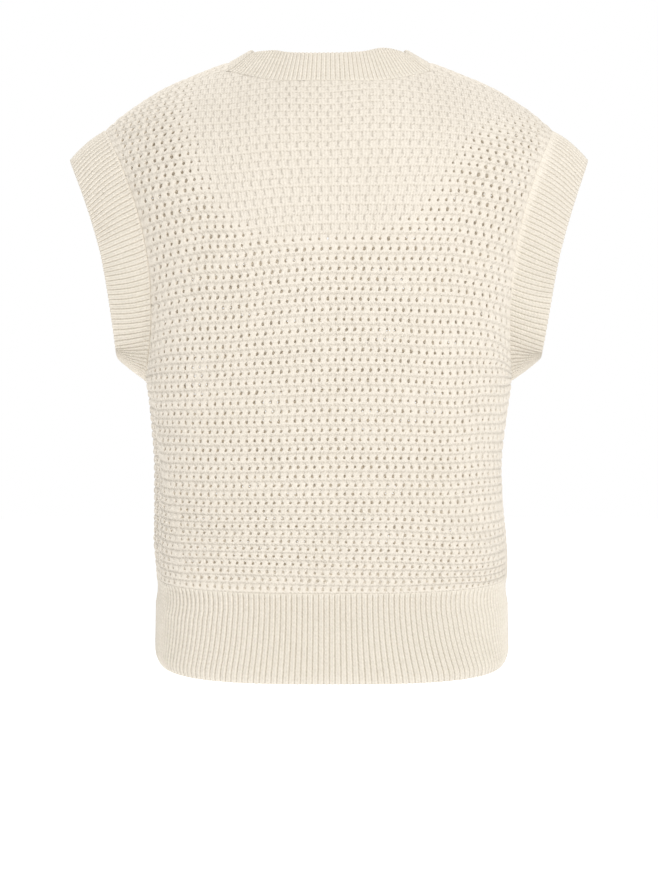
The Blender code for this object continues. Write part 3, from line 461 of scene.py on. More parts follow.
def spread(name, u, row):
    """How much wider than even the columns are: they fan out between the shoulders and are drawn in at one end of the hem."""
    if name != "back":
        return 1.0 + 0.0 * u * row
    rows, wider = [line[0] for line in FAN], [line[1] for line in FAN]
    fan = 1 + np.interp(row, rows, wider) * (1 - step((np.abs(u + 0.03) - 0.24) / 0.40))
    # wider columns towards the armholes and on the shoulders' ends
    outer = step((np.abs(u) - 0.58) / 0.16)
    fan = fan * (1 + outer * (0.12 * step((row - 24.0) / 6.0) + 0.06 * step((row - 42.0) / 5.0)))
    return fan * (1 - 0.12 * step((-u - 0.38) / 0.14) * (1 - step(row / 6.0)))


def swing(name, u, row):
    """The place of a course on the panel's table: row and what it is lifted by at u."""
    row = np.asarray(row, float)
    if name != "back":
        return row
    rows = [line[0] for line in SWING]
    at_u = np.stack([smooth(SWING_U, line[1], np.clip(u, SWING_U[0], SWING_U[-1])) for line in SWING])
    i = np.clip(np.searchsorted(rows, row) - 1, 0, len(rows) - 2)
    t = np.clip((row - np.take(rows, i)) / (np.take(rows, i + 1) - np.take(rows, i)), 0.0, 1.0)
    t = t * t * (3 - 2 * t) * 0.4 + t * 0.6
    flat = at_u.reshape(len(rows), -1)
    k = np.arange(flat.shape[1]).reshape(row.shape)
    lift = flat[i, k] * (1 - t) + flat[i + 1, k] * t
    # beside the armhole of the wearer's right the courses crowd together above and below the end of the side seam
    off = row - 25.0
    crowd = step((np.abs(u) - 0.74) / 0.26) * np.where(u < 0, 0.50, 0.25)
    lift = lift - crowd * off * np.exp(-((off / 4.5) ** 2))
    # beyond the fold at the wearer's left they rise towards the side
    lift = lift + 0.80 * step((u - 0.66) / 0.24) * step((row - 1.0) / 4.0) * (1 - step((row - 15.0) / 7.0))
    return row + lift * step(row / 1.5 + 0.15)


# ---------------------------------------------------------------- fine tables of the panels
class Cloth:
    """A panel's outer face as a table over u and row, with the distance along each row."""

    def __init__(self, name):
        self.name = name
        front = name != "back"
        self.u = np.linspace(0 if front else -1, 1, 91 if front else 181)
        rows = np.arange(0, round(ROW_YOKE / ROW_STEP) + 1) * ROW_STEP
        shares = np.linspace(0, 1, 73)[1:]
        grid = panel(name, self.u, rows, shares)
        lift = fold_lift(name, self.u[None, :], row_numbers(rows, len(shares))[:, None])
        at_side = step((1 - np.abs(self.u)) / 0.05)[None, :]
        at_top = np.concatenate([np.ones(len(rows)), step((1 - shares) / 0.15)])[:, None]
        grid = grid + normals(grid, away(grid)) * (lift * at_side * at_top)[..., None]
        low = grid[: len(rows)]
        high = grid[len(rows) - 1 :]
        length = np.concatenate([np.zeros((1, len(self.u))), np.cumsum(np.linalg.norm(np.diff(high, axis=0), axis=-1), axis=0)])
        self.top = ROW_YOKE + length[-1] / YOKE_ROW
        count = int(np.ceil((self.top.max() + 1.2 - ROW_YOKE) / ROW_STEP))
        self.rows = np.concatenate([rows, ROW_YOKE + ROW_STEP * np.arange(1, count + 1)])
        more = np.empty((count, len(self.u), 3))
        for j in range(len(self.u)):
            at = (self.rows[len(rows) :] - ROW_YOKE) * YOKE_ROW
            for k in range(3):
                more[:, j, k] = np.interp(at, length[:, j], high[:, j, k])
            over = at > length[-1, j]
            way = unit(high[-1, j] - high[-4, j])
            more[over, j] = high[-1, j] + way * (at[over] - length[-1, j])[:, None]
        self.grid = np.concatenate([low, more])
        self.normal = normals(self.grid, away(self.grid))
        # where the cloth turns towards the sides it is stretched, and its columns are wider
        steps = np.linalg.norm(np.diff(self.grid, axis=1) * np.array([1.0, 0.70, 1.0]), axis=-1)
        steps = steps / spread(name, (self.u[1:] + self.u[:-1])[None, :] / 2, self.rows[:, None])
        along = np.concatenate([np.zeros((len(self.rows), 1)), np.cumsum(steps, axis=1)], axis=1)
        along = along - along[:, [int(np.argmin(np.abs(self.u)))]]
        pitch = COLUMN_LOW + (COLUMN - COLUMN_LOW) * step(self.rows / 8.0)
        self.columns = along / pitch[:, None]
        self.c = np.arange(math.floor(self.columns.min()) - 1, math.ceil(self.columns.max()) + 1.01, 0.25)
        self.u_at = np.stack([np.interp(self.c, line, self.u) for line in self.columns])
        self.c_low, self.c_high = self.columns[:, 0], self.columns[:, -1]

    def table(self, values, x, row):
        """values[row, x] read at fractional places, x counted in steps of the table."""
        r = np.clip(row / ROW_STEP, 0, len(values) - 1.001)
        i, j = r.astype(int), np.clip(x, 0, values.shape[1] - 1.001).astype(int)
        f, g = r - i, np.clip(x, 0, values.shape[1] - 1.001) - j
        if values.ndim == 3:
            f, g = f[..., None], g[..., None]
        return (values[i, j] * (1 - g) + values[i, j + 1] * g) * (1 - f) + (values[i + 1, j] * (1 - g) + values[i + 1, j + 1] * g) * f

    def share(self, c, row):
        return self.table(self.u_at, (c - self.c[0]) / 0.25, row)

    def at(self, u, row):
        x = (u - self.u[0]) / (self.u[1] - self.u[0])
        return self.table(self.grid, x, row), unit(self.table(self.normal, x, row))

    def limit(self, u):
        return np.interp(u, self.u, self.top)

    def edge(self, u, low, high, count):
        """Points and normals up the column u, from one row to another."""
        row = np.linspace(low, high, count)
        return self.at(np.full(count, float(u)), row)


# ---------------------------------------------------------------- meshes
def knit_attribute(mesh, knit):
    layer = mesh.attributes.new("knit", "FLOAT_VECTOR", "POINT")
    layer.data.foreach_set("vector", np.ascontiguousarray(knit, dtype=np.float32).ravel())


def mesh_object(name, points, quads, mat, knit=None, tris=None):
    """An object from points and four-sided faces; points in one place become one, and faces without area go."""
    points = np.asarray(points, float)
    quads = np.asarray(quads, int)
    key = np.round(points * 1e6).astype(np.int64)
    _, first, back = np.unique(key, axis=0, return_index=True, return_inverse=True)
    back = back.reshape(-1)
    faces = first[back[quads]]
    loops, starts, totals = [], [], []
    same = [faces[:, k] == faces[:, (k + 1) % 4] for k in range(4)]
    count = same[0].astype(int) + same[1] + same[2] + same[3]
    full = faces[(count == 0) & (faces[:, 0] != faces[:, 2]) & (faces[:, 1] != faces[:, 3])]
    three = []
    for k in range(4):
        pick = (count == 1) & same[k]
        three.append(faces[pick][:, [(k + 1) % 4, (k + 2) % 4, (k + 3) % 4]])
    three = np.concatenate(three)
    if tris is not None and len(tris):
        three = np.concatenate([three, first[back[np.asarray(tris, int)]]])
    three = three[(three[:, 0] != three[:, 1]) & (three[:, 1] != three[:, 2]) & (three[:, 0] != three[:, 2])]

    def big(polygons):
        a, b = points[polygons[:, 2]] - points[polygons[:, 0]], points[polygons[:, -1]] - points[polygons[:, 1]]
        if polygons.shape[1] == 3:
            b = points[polygons[:, 1]] - points[polygons[:, 0]]
        return np.linalg.norm(np.cross(a, b), axis=1) > 4e-9

    full, three = full[big(full)], three[big(three)]
    used = np.unique(np.concatenate([full.ravel(), three.ravel()]))
    new = np.full(len(points), -1)
    new[used] = np.arange(len(used))
    full, three = new[full], new[three]
    mesh = bpy.data.meshes.new(name)
    mesh.vertices.add(len(used))
    mesh.vertices.foreach_set("co", points[used].astype(np.float32).ravel())
    total = full.size + three.size
    mesh.loops.add(total)
    mesh.loops.foreach_set("vertex_index", np.concatenate([full.ravel(), three.ravel()]).astype(np.int32))
    mesh.polygons.add(len(full) + len(three))
    starts = np.concatenate([np.arange(len(full)) * 4, full.size + np.arange(len(three)) * 3]).astype(np.int32)
    mesh.polygons.foreach_set("loop_start", starts)
    mesh.update(calc_edges=True)
    mesh.validate()
    mesh.shade_smooth()
    if knit is not None:
        knit_attribute(mesh, np.asarray(knit)[used])
    mesh.materials.append(mat)
    obj = bpy.data.objects.new(name, mesh)
    bpy.context.scene.collection.objects.link(obj)
    return obj


# ---------------------------------------------------------------- the open knit
def bump_at(x, y, u, row, du, drow, depth):
    """A soft patch of the given depth at (x, y) in u and row."""
    return depth * np.exp(-(((u - x) / du) ** 2) - ((row - y) / drow) ** 2)


def matted(u, row):
    """Where the back's knit has closed up between the shoulders, from 0 to 1: a deep u-shape with a flat foot."""
    left = np.interp(row, (37.5, 39.5, 42.5, 46.0, 52.0, 58.0), (0.10, 0.40, 0.55, 0.62, 0.65, 0.67))
    right = np.interp(row, (37.5, 39.5, 41.0, 44.0, 50.0, 53.0, 56.0), (0.10, 0.30, 0.44, 0.55, 0.66, 0.80, 0.95))
    reach = np.where(u > 0, left, right)
    return step((row - 36.8) / 3.2) * step((reach - np.abs(u)) / 0.20 + 0.45)


def openness(name, u, row):
    """How open the eyelets are, from 0 (closed) to 1: closed next to the seams and where the cloth is matted or gathered."""
    near = step((1 - np.abs(u) - 0.022) / 0.022)
    low = step(row / 0.6)
    value = near * low
    if name == "back":
        # the upper middle of the back, where the knit has closed up most
        value = value * (1 - 0.86 * matted(u, row))
        # a little wider in the first rows above the hem
        value = value * (1.15 - 0.15 * step((row - 1.5) / 2.5))
        # narrow matted lines along the side of the wearer's left, and a wide one at the right
        plain_at = np.interp(row, (0.0, 8.0, 12.5, 17.0, 23.0), (0.60, 0.62, 0.68, 0.74, 0.83))
        plain_wide = np.interp(row, (0.0, 9.0, 14.0, 19.0), (0.022, 0.022, 0.030, 0.026))
        value = value * (1 - step(1.6 - np.abs(u - plain_at) / plain_wide) * step((row + 1) / 2) * step((23.5 - row) / 3))
        value = value * (1 + 0.35 * step((u - 0.66) / 0.06) * step((24.0 - row) / 4))
        value = value * (1 - step(1.5 - np.abs(u - 0.965) / 0.030) * step((row - 6) / 2) * step((20.0 - row) / 3))
        value = value * (1 - step((-u - 0.845) / 0.035) * step((24.5 - row) / 3))
        value = value * (1 - 0.5 * step(1.5 - np.abs(u - 0.872) / 0.030) * step((row - 21.0) / 2) * step((37.0 - row) / 3))
        # wide eyelets on the shoulders' ends and in one column beside the armhole
        value = value * (1 + 0.36 * step((u - 0.50) / 0.2) * step((row - 38.0) / 6) + 0.22 * step((-u - 0.45) / 0.2) * step((row - 38.0) / 6))
        value = value * (1 + 0.16 * step((u - 0.36) / 0.2) * step((row - 5.0) / 4) * step((42.0 - row) / 6))
        value = value * (1 + 0.30 * np.exp(-(((u - 0.937) / 0.024) ** 2)) * step((row - 21.0) / 2) * step((37.0 - row) / 3))
    else:
        value = value * (1 - 0.30 * step((row - 42) / 2))
        value = value * (1 - step(1.4 - np.abs(u - 0.90) / 0.035) * step((22.0 - row) / 3))
    return value


def zigzag(row):
    """Sideways wander of the columns: the eyelets of every other row stand a third of a column over."""
    return 0.168 * np.cos(math.pi * (row - 0.5))


# One cell of the knit: rings of eight points around an eyelet, in shares of a column and a row, and their heights.
OUTER_COLUMNS = ("a", "b", "height")
OUTER = (
    (-0.5, -0.5, -0.00055),
    (0.0, -0.5, -0.00075),
    (0.5, -0.5, -0.00055),
    (0.5, 0.0, 0.00075),
    (0.5, 0.5, -0.00055),
    (0.0, 0.5, -0.00075),
    (-0.5, 0.5, -0.00055),
    (-0.5, 0.0, 0.00075),
)
MIDDLE_HEIGHT = (0.00052, 0.00060, 0.00052, 0.00062, 0.00040, -0.00020, 0.00040, 0.00062)
MIDDLE_REACH = (0.335, 0.330, 0.335, 0.315, 0.335, 0.330, 0.335, 0.315)


def open_knit(name, cloth, mat):
    rows = np.arange(0, int(math.ceil(cloth.top.max())))
    count_low, count_high = int(math.floor(cloth.c_low.min())) - 1, int(math.ceil(cloth.c_high.max())) + 1
    cells = np.array([(i, j) for j in rows for i in range(count_low, count_high + 1)], float)
    # the cells that touch the panel
    middle_c, middle_r = cells[:, 0] + zigzag(cells[:, 1] + 0.5), cells[:, 1] + 0.5
    u = cloth.share(middle_c, middle_r)
    middle_r = swing(cloth.name, u, middle_r)
    u = cloth.share(middle_c, middle_r)
    c_low = np.interp(middle_r, cloth.rows, cloth.c_low)
    c_high = np.interp(middle_r, cloth.rows, cloth.c_high)
    keep = (middle_c > c_low - 0.9) & (middle_c < c_high + 0.9) & (middle_r < cloth.limit(u) + 0.8)
    cells, middle_c, middle_r, u = cells[keep], middle_c[keep], middle_r[keep], u[keep]
    c_low, c_high = c_low[keep], c_high[keep]
    top = cloth.limit(u)
    room = np.minimum(np.minimum(middle_c - c_low, c_high - middle_c), np.minimum((top - middle_r) * 1.0, middle_r + 0.2))
    wide = openness(cloth.name, u, np.minimum(cells[:, 1] + 0.5, 60.0))
    shut_up = matted(u, cells[:, 1] + 0.5) if cloth.name == "back" else np.zeros(len(u))
    wide = wide * step((room - 0.36) / 0.20)
    n = len(cells)
    wild = rng.normal(size=(n, 6))
    wide = wide * (1 + 0.10 * wild[:, 0])
    size = np.clip(0.40 + 0.60 * wide, 0.45, 1.32)
    is_open = wide > 0.30
    odd = (cells[:, 1].astype(int) % 2).astype(float)
    # the eyelets of every other row lean over
    slant = np.radians(np.where(odd > 0, -25.0 + 36.0 * step((-u - 0.05) / 0.55), -2.0) + 6.0 * wild[:, 1])
    turn = np.radians([-135, -90, -45, 0, 45, 90, 135, 180])
    stretch = np.array([1.0, 1.0, 1.0, 1.0, 1.0, 1.0, 1.0, 1.0])

    outer = np.array(OUTER)
    # the corners and edge middles are shared with the neighbours: one number for each place of the half-step lattice
    lattice = np.round(np.stack([2 * (cells[:, :1] + outer[None, :, 0]), 2 * (cells[:, 1:] + 0.5 + outer[None, :, 1])], axis=-1)).astype(int)
    flat = lattice.reshape(-1, 2)
    places, number = np.unique(flat, axis=0, return_inverse=True)
    number = number.reshape(n, 8)
    heights = np.zeros(len(places))
    heights[number.ravel()] = np.tile(outer[:, 2], n)
    c = places[:, 0] / 2.0
    r = places[:, 1] / 2.0
    jitter = rng.normal(size=(len(places), 3))
    c = c + 0.020 * jitter[:, 0]
    inner_row = places[:, 1] > 0
    r = r + 0.018 * jitter[:, 1] * inner_row
    heights = heights + 0.00007 * jitter[:, 2]
    all_c, all_r, all_h = [c], [r], [heights]

    def ring(wide_reach, high_reach, height, extra):
        """A ring of eight points in each cell."""
        x = wide_reach * np.cos(turn)[None, :] * stretch
        y = high_reach * np.sin(turn)[None, :]
        tall = 0.0090 / COLUMN
        lean = slant[:, None] * extra
        xx = x * np.cos(lean) + y * tall * np.sin(lean)
        yy = (y * tall * np.cos(lean) - x * np.sin(lean)) / tall
        all_c.append((cells[:, :1] + xx + 0.015 * wild[:, 2:3]).ravel())
        all_r.append((cells[:, 1:] + 0.5 + yy + 0.012 * wild[:, 3:4]).ravel())
        all_h.append(height.ravel())
        start = sum(len(h) for h in all_h[:-1])
        return start + np.arange(n * 8).reshape(n, 8)

    one = np.ones((n, 1))
    reach = np.array(MIDDLE_REACH)[None, :]
    tall_wild = 1 + 0.18 * wild[:, 4:5]
    first = ring(reach * one, reach * one * 1.0, np.array(MIDDLE_HEIGHT)[None, :] * tall_wild + 0.00006 * rng.normal(size=(n, 8)), 0.5)
    half_w = (HOLE_WIDE * size)[:, None]
    half_h = (HOLE_HIGH * size * (1 + 0.08 * wild[:, 5]))[:, None]
    rim = ring(half_w * 1.12, half_h * 1.10, np.where(is_open, 0.00005, -0.00010)[:, None] * np.ones((1, 8)), 1.0)
    # the eyelets of the fronts narrow more towards the inside
    inside = 0.92 if cloth.name == "back" else 0.50
    lip = ring(half_w * np.where(is_open, inside, 0.60)[:, None], half_h * np.where(is_open, inside + 0.02, 0.62)[:, None], np.where(is_open, -0.00125, -0.00060 - 0.0007 * (size - 0.5))[:, None] * np.ones((1, 8)), 1.0)

    c, r, h = np.concatenate(all_c), np.concatenate(all_r), np.concatenate(all_h)
    warped = c + zigzag(r)
    course = r
    shut_at = np.zeros(len(places))
    shut_at[number.ravel()] = np.repeat(shut_up, 8)
    closed = np.concatenate([shut_at] + [np.repeat(shut_up, 8)] * 3)
    r = np.maximum(r, 0.0)
    r = np.maximum(swing(cloth.name, cloth.share(warped, r), r), 0.0)
    # held inside the panel: first between the seams at the sides, then below the one on top
    low = np.interp(r, cloth.rows, cloth.c_low)
    high = np.interp(r, cloth.rows, cloth.c_high)
    near = np.minimum(warped - low, high - warped)
    warped = np.clip(warped, low, high)
    share = cloth.share(warped, r)
    # the outermost points lie on the seams themselves
    share = np.where(warped >= high - 1e-6, cloth.u[-1], np.where(warped <= low + 1e-6, cloth.u[0], share))
    top = cloth.limit(share)
    near = np.minimum(np.minimum(near * COLUMN, (top - r) * YOKE_ROW), r * 0.009 + 0.0003)
    r = np.minimum(r, top)
    point, normal = cloth.at(share, r)
    # towards a seam the knit flattens and dips into it
    calm = step(near / 0.0045)
    dip = -0.00016 * (1 - step(near / 0.0020)) * (np.where((share < -0.8) & (r > ROW_UNDERARM + 2), 0.0, 1.0) if cloth.name == "back" else 1.0)
    point = point + normal * (h * calm * (1 - 0.62 * closed) + dip)[:, None]

    faces = []
    for a, b in ((number, first), (first, rim), (rim, lip)):
        for k in range(8):
            m = (k + 1) % 8
            faces.append(np.stack([a[:, k], a[:, m], b[:, m], b[:, k]], axis=1))
    faces = np.concatenate(faces)
    shut = lip[~is_open]
    caps = np.concatenate([np.stack([shut[:, 0], shut[:, 1], shut[:, 2], shut[:, 3]], axis=1), np.stack([shut[:, 0], shut[:, 3], shut[:, 4], shut[:, 7]], axis=1), np.stack([shut[:, 4], shut[:, 5], shut[:, 6], shut[:, 7]], axis=1)])
    faces = np.concatenate([faces, caps])
    knit = np.stack([c, course, closed], axis=1)
    obj = mesh_object(name + "_knit", point, faces, mat, knit)
    turned(obj, cloth)
    print(name, "cells", n, "open", int(is_open.sum()), "faces", len(obj.data.polygons), "triangles", sum(len(p.vertices) - 2 for p in obj.data.polygons))
    return obj


def turned(obj, cloth):
    """Turns the faces so that they look out of the garment."""
    mesh = obj.data
    count = len(mesh.polygons)
    middle, normal = np.empty(count * 3), np.empty(count * 3)
    mesh.polygons.foreach_get("center", middle)
    mesh.polygons.foreach_get("normal", normal)
    middle, normal = middle.reshape(-1, 3), normal.reshape(-1, 3)
    if (normal * away(middle)).sum() < 0:
        mesh.flip_normals()


# ---------------------------------------------------------------- the ribs
def rib_wave(x):
    """Height of a rib across its width, x in ribs: round backs with narrow valleys between them."""
    wave = 0.5 + 0.5 * np.cos(2 * math.pi * x)
    return wave**0.62


def rib_piece(name, base, normal, way, ribs, width, closed, mat, height=0.00135, fine=6, seam_low=True, thick=RIB_THICK, edge_reach=0.0003, stitch=STITCH, weld=0.0006, cut_back=True, strength=1.0, fade=0.0):
    """A ribbed band as a closed wall. base(share) gives the points of its outer face at a share of its width, one for each
    place along the seam; normal and way are the directions out of the cloth and across the band at these places; ribs
    counts the ribs along the seam."""
    outs = max(int(round(width / stitch * 3)), 8)
    shares = np.linspace(0, 1, outs + 1)
    if np.max(fade) > 0:
        shares = np.concatenate([[0.0, 0.00025 / width], shares[1:]])
        outs += 1
    whole, trim = base, 1 - (0.4 * thick / width if cut_back else 0.0)
    places = len(ribs)
    strength = np.broadcast_to(strength, (places,))
    fade = np.maximum(np.broadcast_to(fade, (places,)), 1e-5)

    def base(share):
        return whole(share * trim)

    wild = rng.normal(size=(outs + 1, places))
    wave = rib_wave(ribs)
    tip = edge_reach * (wave - 0.6)
    points, knit = [], []
    rows, shown = [], []
    for i, share in enumerate(shares):
        p = base(share)
        stitches = share * width / stitch
        start = step(share * width / np.maximum(0.0042, fade))
        # a raised line of stitches where the band is sewn to the panel
        welt = weld * np.exp(-(((share * width - 0.0018) / 0.0011) ** 2)) if seam_low else 0.0
        beads = 0.00015 * np.cos(2 * math.pi * (stitches + 0.5 * np.abs(((ribs + 0.5) % 1) - 0.5)))
        end = 1 - 0.45 * step((share - 0.90) / 0.10)
        relief = (wave - 0.66) * height * (np.where(fade > 0.0042, 0.22, 0.30) * (1 - start) + start) * end + welt - 0.00016 * (1 - step(share * width / 0.0010)) + beads * start + 0.00005 * wild[i]
        along = tip * max(0.0, (share - 0.90) / 0.10)
        points.append(p + normal * relief[:, None] + way * along[:, None])
        rows.append(("out", share, stitches))
        # the third value of the knit attribute: how strongly the bump and the painted shade of the ribs show, less near
        # the seam where the ribs start
        shown.append(strength * (np.where(fade > 0.0042, 0.34, 0.0) + np.where(fade > 0.0042, 0.66, 1.0) * step(share * width / fade - 0.05)))
    # over the free edge
    last = base(1.0)
    for angle in (35.0, 75.0, 115.0, 150.0):
        a = math.radians(angle)
        relief = (wave - 0.66) * height * 0.55 * math.cos(a / 2)
        sink = -0.5 * thick * (1 - math.cos(a))
        reach = 0.5 * thick * math.sin(a) * 0.8
        points.append(last + normal * (sink + relief)[:, None] + way * (reach + tip)[:, None])
        rows.append(("edge", 1.0, width / stitch + angle / 180))
        shown.append(strength)
    inner = np.linspace(1, 0, max(outs // 2, 5) + 1)
    other = rib_wave(ribs + 0.5)
    for share in inner:
        p = base(share)
        start = step(share * width / 0.0042)
        relief = -thick - (other - 0.66) * height * 0.6 * start
        along = tip * max(0.0, (share - 0.90) / 0.10)
        points.append(p + normal * relief[:, None] + way * along[:, None])
        rows.append(("in", share, share * width / stitch))
        shown.append(np.ones(places))
    points = np.stack(points)
    count = len(points)
    knit = np.stack([np.broadcast_to(ribs, (count, places)), np.broadcast_to(np.array([r[2] for r in rows])[:, None], (count, places)), np.stack(shown)], axis=-1)
    i, j = np.meshgrid(np.arange(count), np.arange(places if closed else places - 1), indexing="ij")
    i2, j2 = (i + 1) % count, (j + 1) % places
    quads = np.stack([i * places + j, i * places + j2, i2 * places + j2, i2 * places + j], axis=-1).reshape(-1, 4)
    tris = []
    if not closed:
        # the two ends: outer and inner rows joined across the wall
        def end(j):
            low, high = 0, count - 1
            while high - low > 1:
                next_low = low + 1
                tris.append((low * places + j, next_low * places + j, high * places + j))
                low = next_low
                if high - low > 1 and (len(tris) % 3 == 2):
                    tris.append((low * places + j, (high - 1) * places + j, high * places + j))
                    high -= 1
        end(0)
        begin = len(tris)
        end(places - 1)
        tris = tris[:begin] + [(a, c, b) for a, b, c in tris[begin:]]
    obj = mesh_object(name, points.reshape(-1, 3), quads, mat, knit.reshape(-1, 3), tris)
    bm = bmesh.new()
    bm.from_mesh(obj.data)
    bmesh.ops.recalc_face_normals(bm, faces=bm.faces)
    if bm.calc_volume(signed=True) < 0:
        bmesh.ops.reverse_faces(bm, faces=bm.faces)
    bm.to_mesh(obj.data)
    bm.free()
    print(name, "ribs %.1f" % (ribs[-1] - ribs[0]), "faces", len(obj.data.polygons), "triangles", sum(len(p.vertices) - 2 for p in obj.data.polygons))
    return obj


def resampled(line, extras, pitch, fine, closed=False):
    """A line of points at equal steps of its length, a whole number of ribs long, with other values that go with it."""
    if closed:
        line = np.concatenate([line, line[:1]])
        extras = [np.concatenate([e, e[:1]]) for e in extras]
    along = np.concatenate([[0.0], np.cumsum(np.linalg.norm(np.diff(line, axis=0), axis=1))])
    count = max(int(round(along[-1] / pitch)), 1)
    if closed:
        ribs = np.arange(count * fine) / fine
    else:
        ribs = np.arange(count * fine + 1) / fine
    at = ribs / count * along[-1]
    out = [np.stack([np.interp(at, along, e[:, k]) for k in range(e.shape[1])], axis=1) for e in [line] + list(extras)]
    return ribs, out, along[-1]


def smoothed(values, along, width):
    """Directions along a line, averaged over the given length."""
    out = np.empty_like(values)
    for i in range(len(values)):
        w = np.exp(-(((along - along[i]) / width) ** 2))
        out[i] = (values * w[:, None]).sum(axis=0)
    return unit(out)


def hem_rib(name, cloth, mat):
    front = name != "back"
    line, norm = cloth.at(cloth.u, np.zeros(len(cloth.u)))
    low = -1.0 if not front else 0.0
    ribs, (points, places), length = resampled(line, [cloth.u[:, None]], HEM_RIB, 6)
    u = places[:, 0]
    sample = np.linspace(0, 1, 25)
    # the ribs fan out downwards: their lower ends stand further from the middle
    lean = -np.where(u < 0, 0.078, 0.046) * np.sin(math.pi * np.abs(u) ** 1.3) * np.sign(u) if not front else 0.0 * u
    fanned = hem(name, u - lean, points, sample)
    straight = hem(name, u, points, sample)
    share_of = step(sample / 1.1)[:, None, None]
    table = straight + (fanned - straight) * np.minimum(share_of, 1.0)
    direction = normals(table, away(table)).mean(axis=0)
    direction = unit(direction)
    whole = normals(table, away(table))
    down = unit(table[-1] - table[-3])
    height = float(np.linalg.norm(table[-1] - table[0], axis=1).mean())

    def base(share):
        x = share * (len(sample) - 1)
        i = min(int(x), len(sample) - 2)
        f = x - i
        return table[i] * (1 - f) + table[i + 1] * f

    # deeper ribs towards the wearer's left, flatter ones at the right, with the painted shade in their valleys scaled
    # to match
    relief = 0.00135 + 0.00032 * step((u + 0.62) / 0.25) * (not front) - 0.00045 * step((-u - 0.62) / 0.2) * (not front)
    obj = rib_piece("hem_" + {"back": "back", "l": "front_l", "r": "front_r"}[name] + "_rib", base, direction, down, ribs, height, False, mat, height=relief, strength=0.93 * relief / 0.00135)
    return obj, length, height


# How far the outer ends of the armbands' ribs stand below their inner ends' own places, by the height of the inner end.
RIB_SLIDE_COLUMNS = ("height", "wearer's left", "wearer's right")
RIB_SLIDE = (
    (-0.300, 0.0, 0.0),
    (-0.285, 0.004, 0.009),
    (-0.265, 0.0085, 0.014),
    (-0.254, 0.001, 0.008),
    (-0.245, -0.005, 0.002),
    (-0.231, -0.0105, -0.005),
    (-0.2125, -0.0145, -0.012),
    (-0.194, -0.0150, -0.012),
    (-0.171, -0.0110, -0.0085),
    (-0.134, -0.0055, -0.0080),
    (-0.090, 0.0, -0.003),
    (-0.060, 0.0, 0.0),
)


def slid(table, side, seam):
    """The armband's table with its ribs turned by RIB_SLIDE: each row of points moved along its own closed line."""
    heights = [line[0] for line in RIB_SLIDE]
    down = [line[1 if side > 0 else 2] for line in RIB_SLIDE]
    lowest = int(np.argmin(seam[:, 2]))
    shift = np.interp(seam[:, 2], heights, down) * np.where(np.arange(len(seam)) < lowest, 1.0, -1.0)
    out = table.copy()
    for i in range(1, len(table)):
        row = np.concatenate([table[i], table[i][:1]])
        along = np.concatenate([[0.0], np.cumsum(np.linalg.norm(np.diff(row, axis=0), axis=1))])
        share = i / (len(table) - 1)
        at = (along[:-1] + shift * share ** 1.25) % along[-1]
        out[i] = np.stack([np.interp(at, along, row[:, k]) for k in range(3)], axis=-1)
    return out


def arm_rib(name, side, back, front, mat):
    edge_u = 1.0 if side > 0 else -1.0
    top_b, top_f = float(back.limit(edge_u)), float(front.limit(1.0))
    behind, behind_n = back.edge(edge_u, ROW_UNDERARM, top_b, 90)
    before, before_n = front.edge(1.0, ROW_UNDERARM, top_f, 90)
    ring = np.concatenate([behind[::-1], before[1:-1]])
    ribs, (points,), length = resampled(ring, [], ARM_RIB, 6, closed=True)
    sample = np.linspace(0, 1, 13)
    table = armband(side, points, sample)
    height = float(np.linalg.norm(table[-1] - table[0], axis=1).mean())
    table = slid(table, side, points)
    around = np.concatenate([table[:, -1:], table, table[:, :1]], axis=1)
    centre = ring.mean(axis=0) + np.array([side * 0.02, 0.0, 0.0])
    outward = (around - centre) * np.array([0.0, 1.0, 1.0])
    n = normals(around, outward)[:, 1:-1]
    direction = unit(n.mean(axis=0))
    way = unit(table[-1] - table[-3])

    def base(share):
        x = share * (len(sample) - 1)
        i = min(int(x), len(sample) - 2)
        f = x - i
        return table[i] * (1 - f) + table[i + 1] * f

    # on the wearer's right the ribs start some way out from the seam, the more the higher, and the seam is hardly seen
    start = np.interp(points[:, 2], (-0.235, -0.195, -0.155, -0.105, -0.065), (0.0, 0.0055, 0.0085, 0.0110, 0.0125)) * (side < 0)
    # how deep the ribs are and how strongly their painted shade shows, by height on the wearer's right
    strength = np.interp(points[:, 2], (-0.17, -0.11), (1.12, 0.95)) if side < 0 else np.full(len(points), 1.05)
    obj = rib_piece("armband_%s_rib" % name, base, direction, way, ribs, height, True, mat, height=0.00135 * strength, weld=0.0009 if side > 0 else 0.0002, strength=strength, fade=start)
    return obj, length, height


def band_line(cloths):
    """The seam of the neckband and the front bands, from the right hem over the nape to the left hem, with its normals."""
    sides = {}
    for name in ("r", "l"):
        cloth = cloths[name]
        top = float(cloth.limit(0.0))
        up, up_n = cloth.edge(0.0, 0.0, top, 260)
        seam, _ = cloth.at(np.array([0.0, 0.02, 0.04]), np.zeros(3))
        downs = np.linspace(0, 1, 40)[1:]
        low = hem(name, np.array([0.0, 0.02, 0.04]), seam, downs)
        low_n = np.broadcast_to(up_n[0], low[:, 0].shape)
        sides[name] = (np.concatenate([low[::-1, 0], up]), np.concatenate([low_n, up_n]))
    back = cloths["back"]
    u = np.linspace(-NECK_U, NECK_U, 120)
    nape, nape_n = back.at(u, back.limit(u))
    line = np.concatenate([sides["r"][0], nape[1:-1], sides["l"][0][::-1]])
    norm = np.concatenate([sides["r"][1], nape_n[1:-1], sides["l"][1][::-1]])
    along = np.concatenate([[0.0], np.cumsum(np.linalg.norm(np.diff(line, axis=0), axis=1))])
    norm = smoothed(norm, along, 0.024)
    return line, norm, along, len(sides["r"][0]) - 1, len(sides["r"][0]) + len(nape) - 3


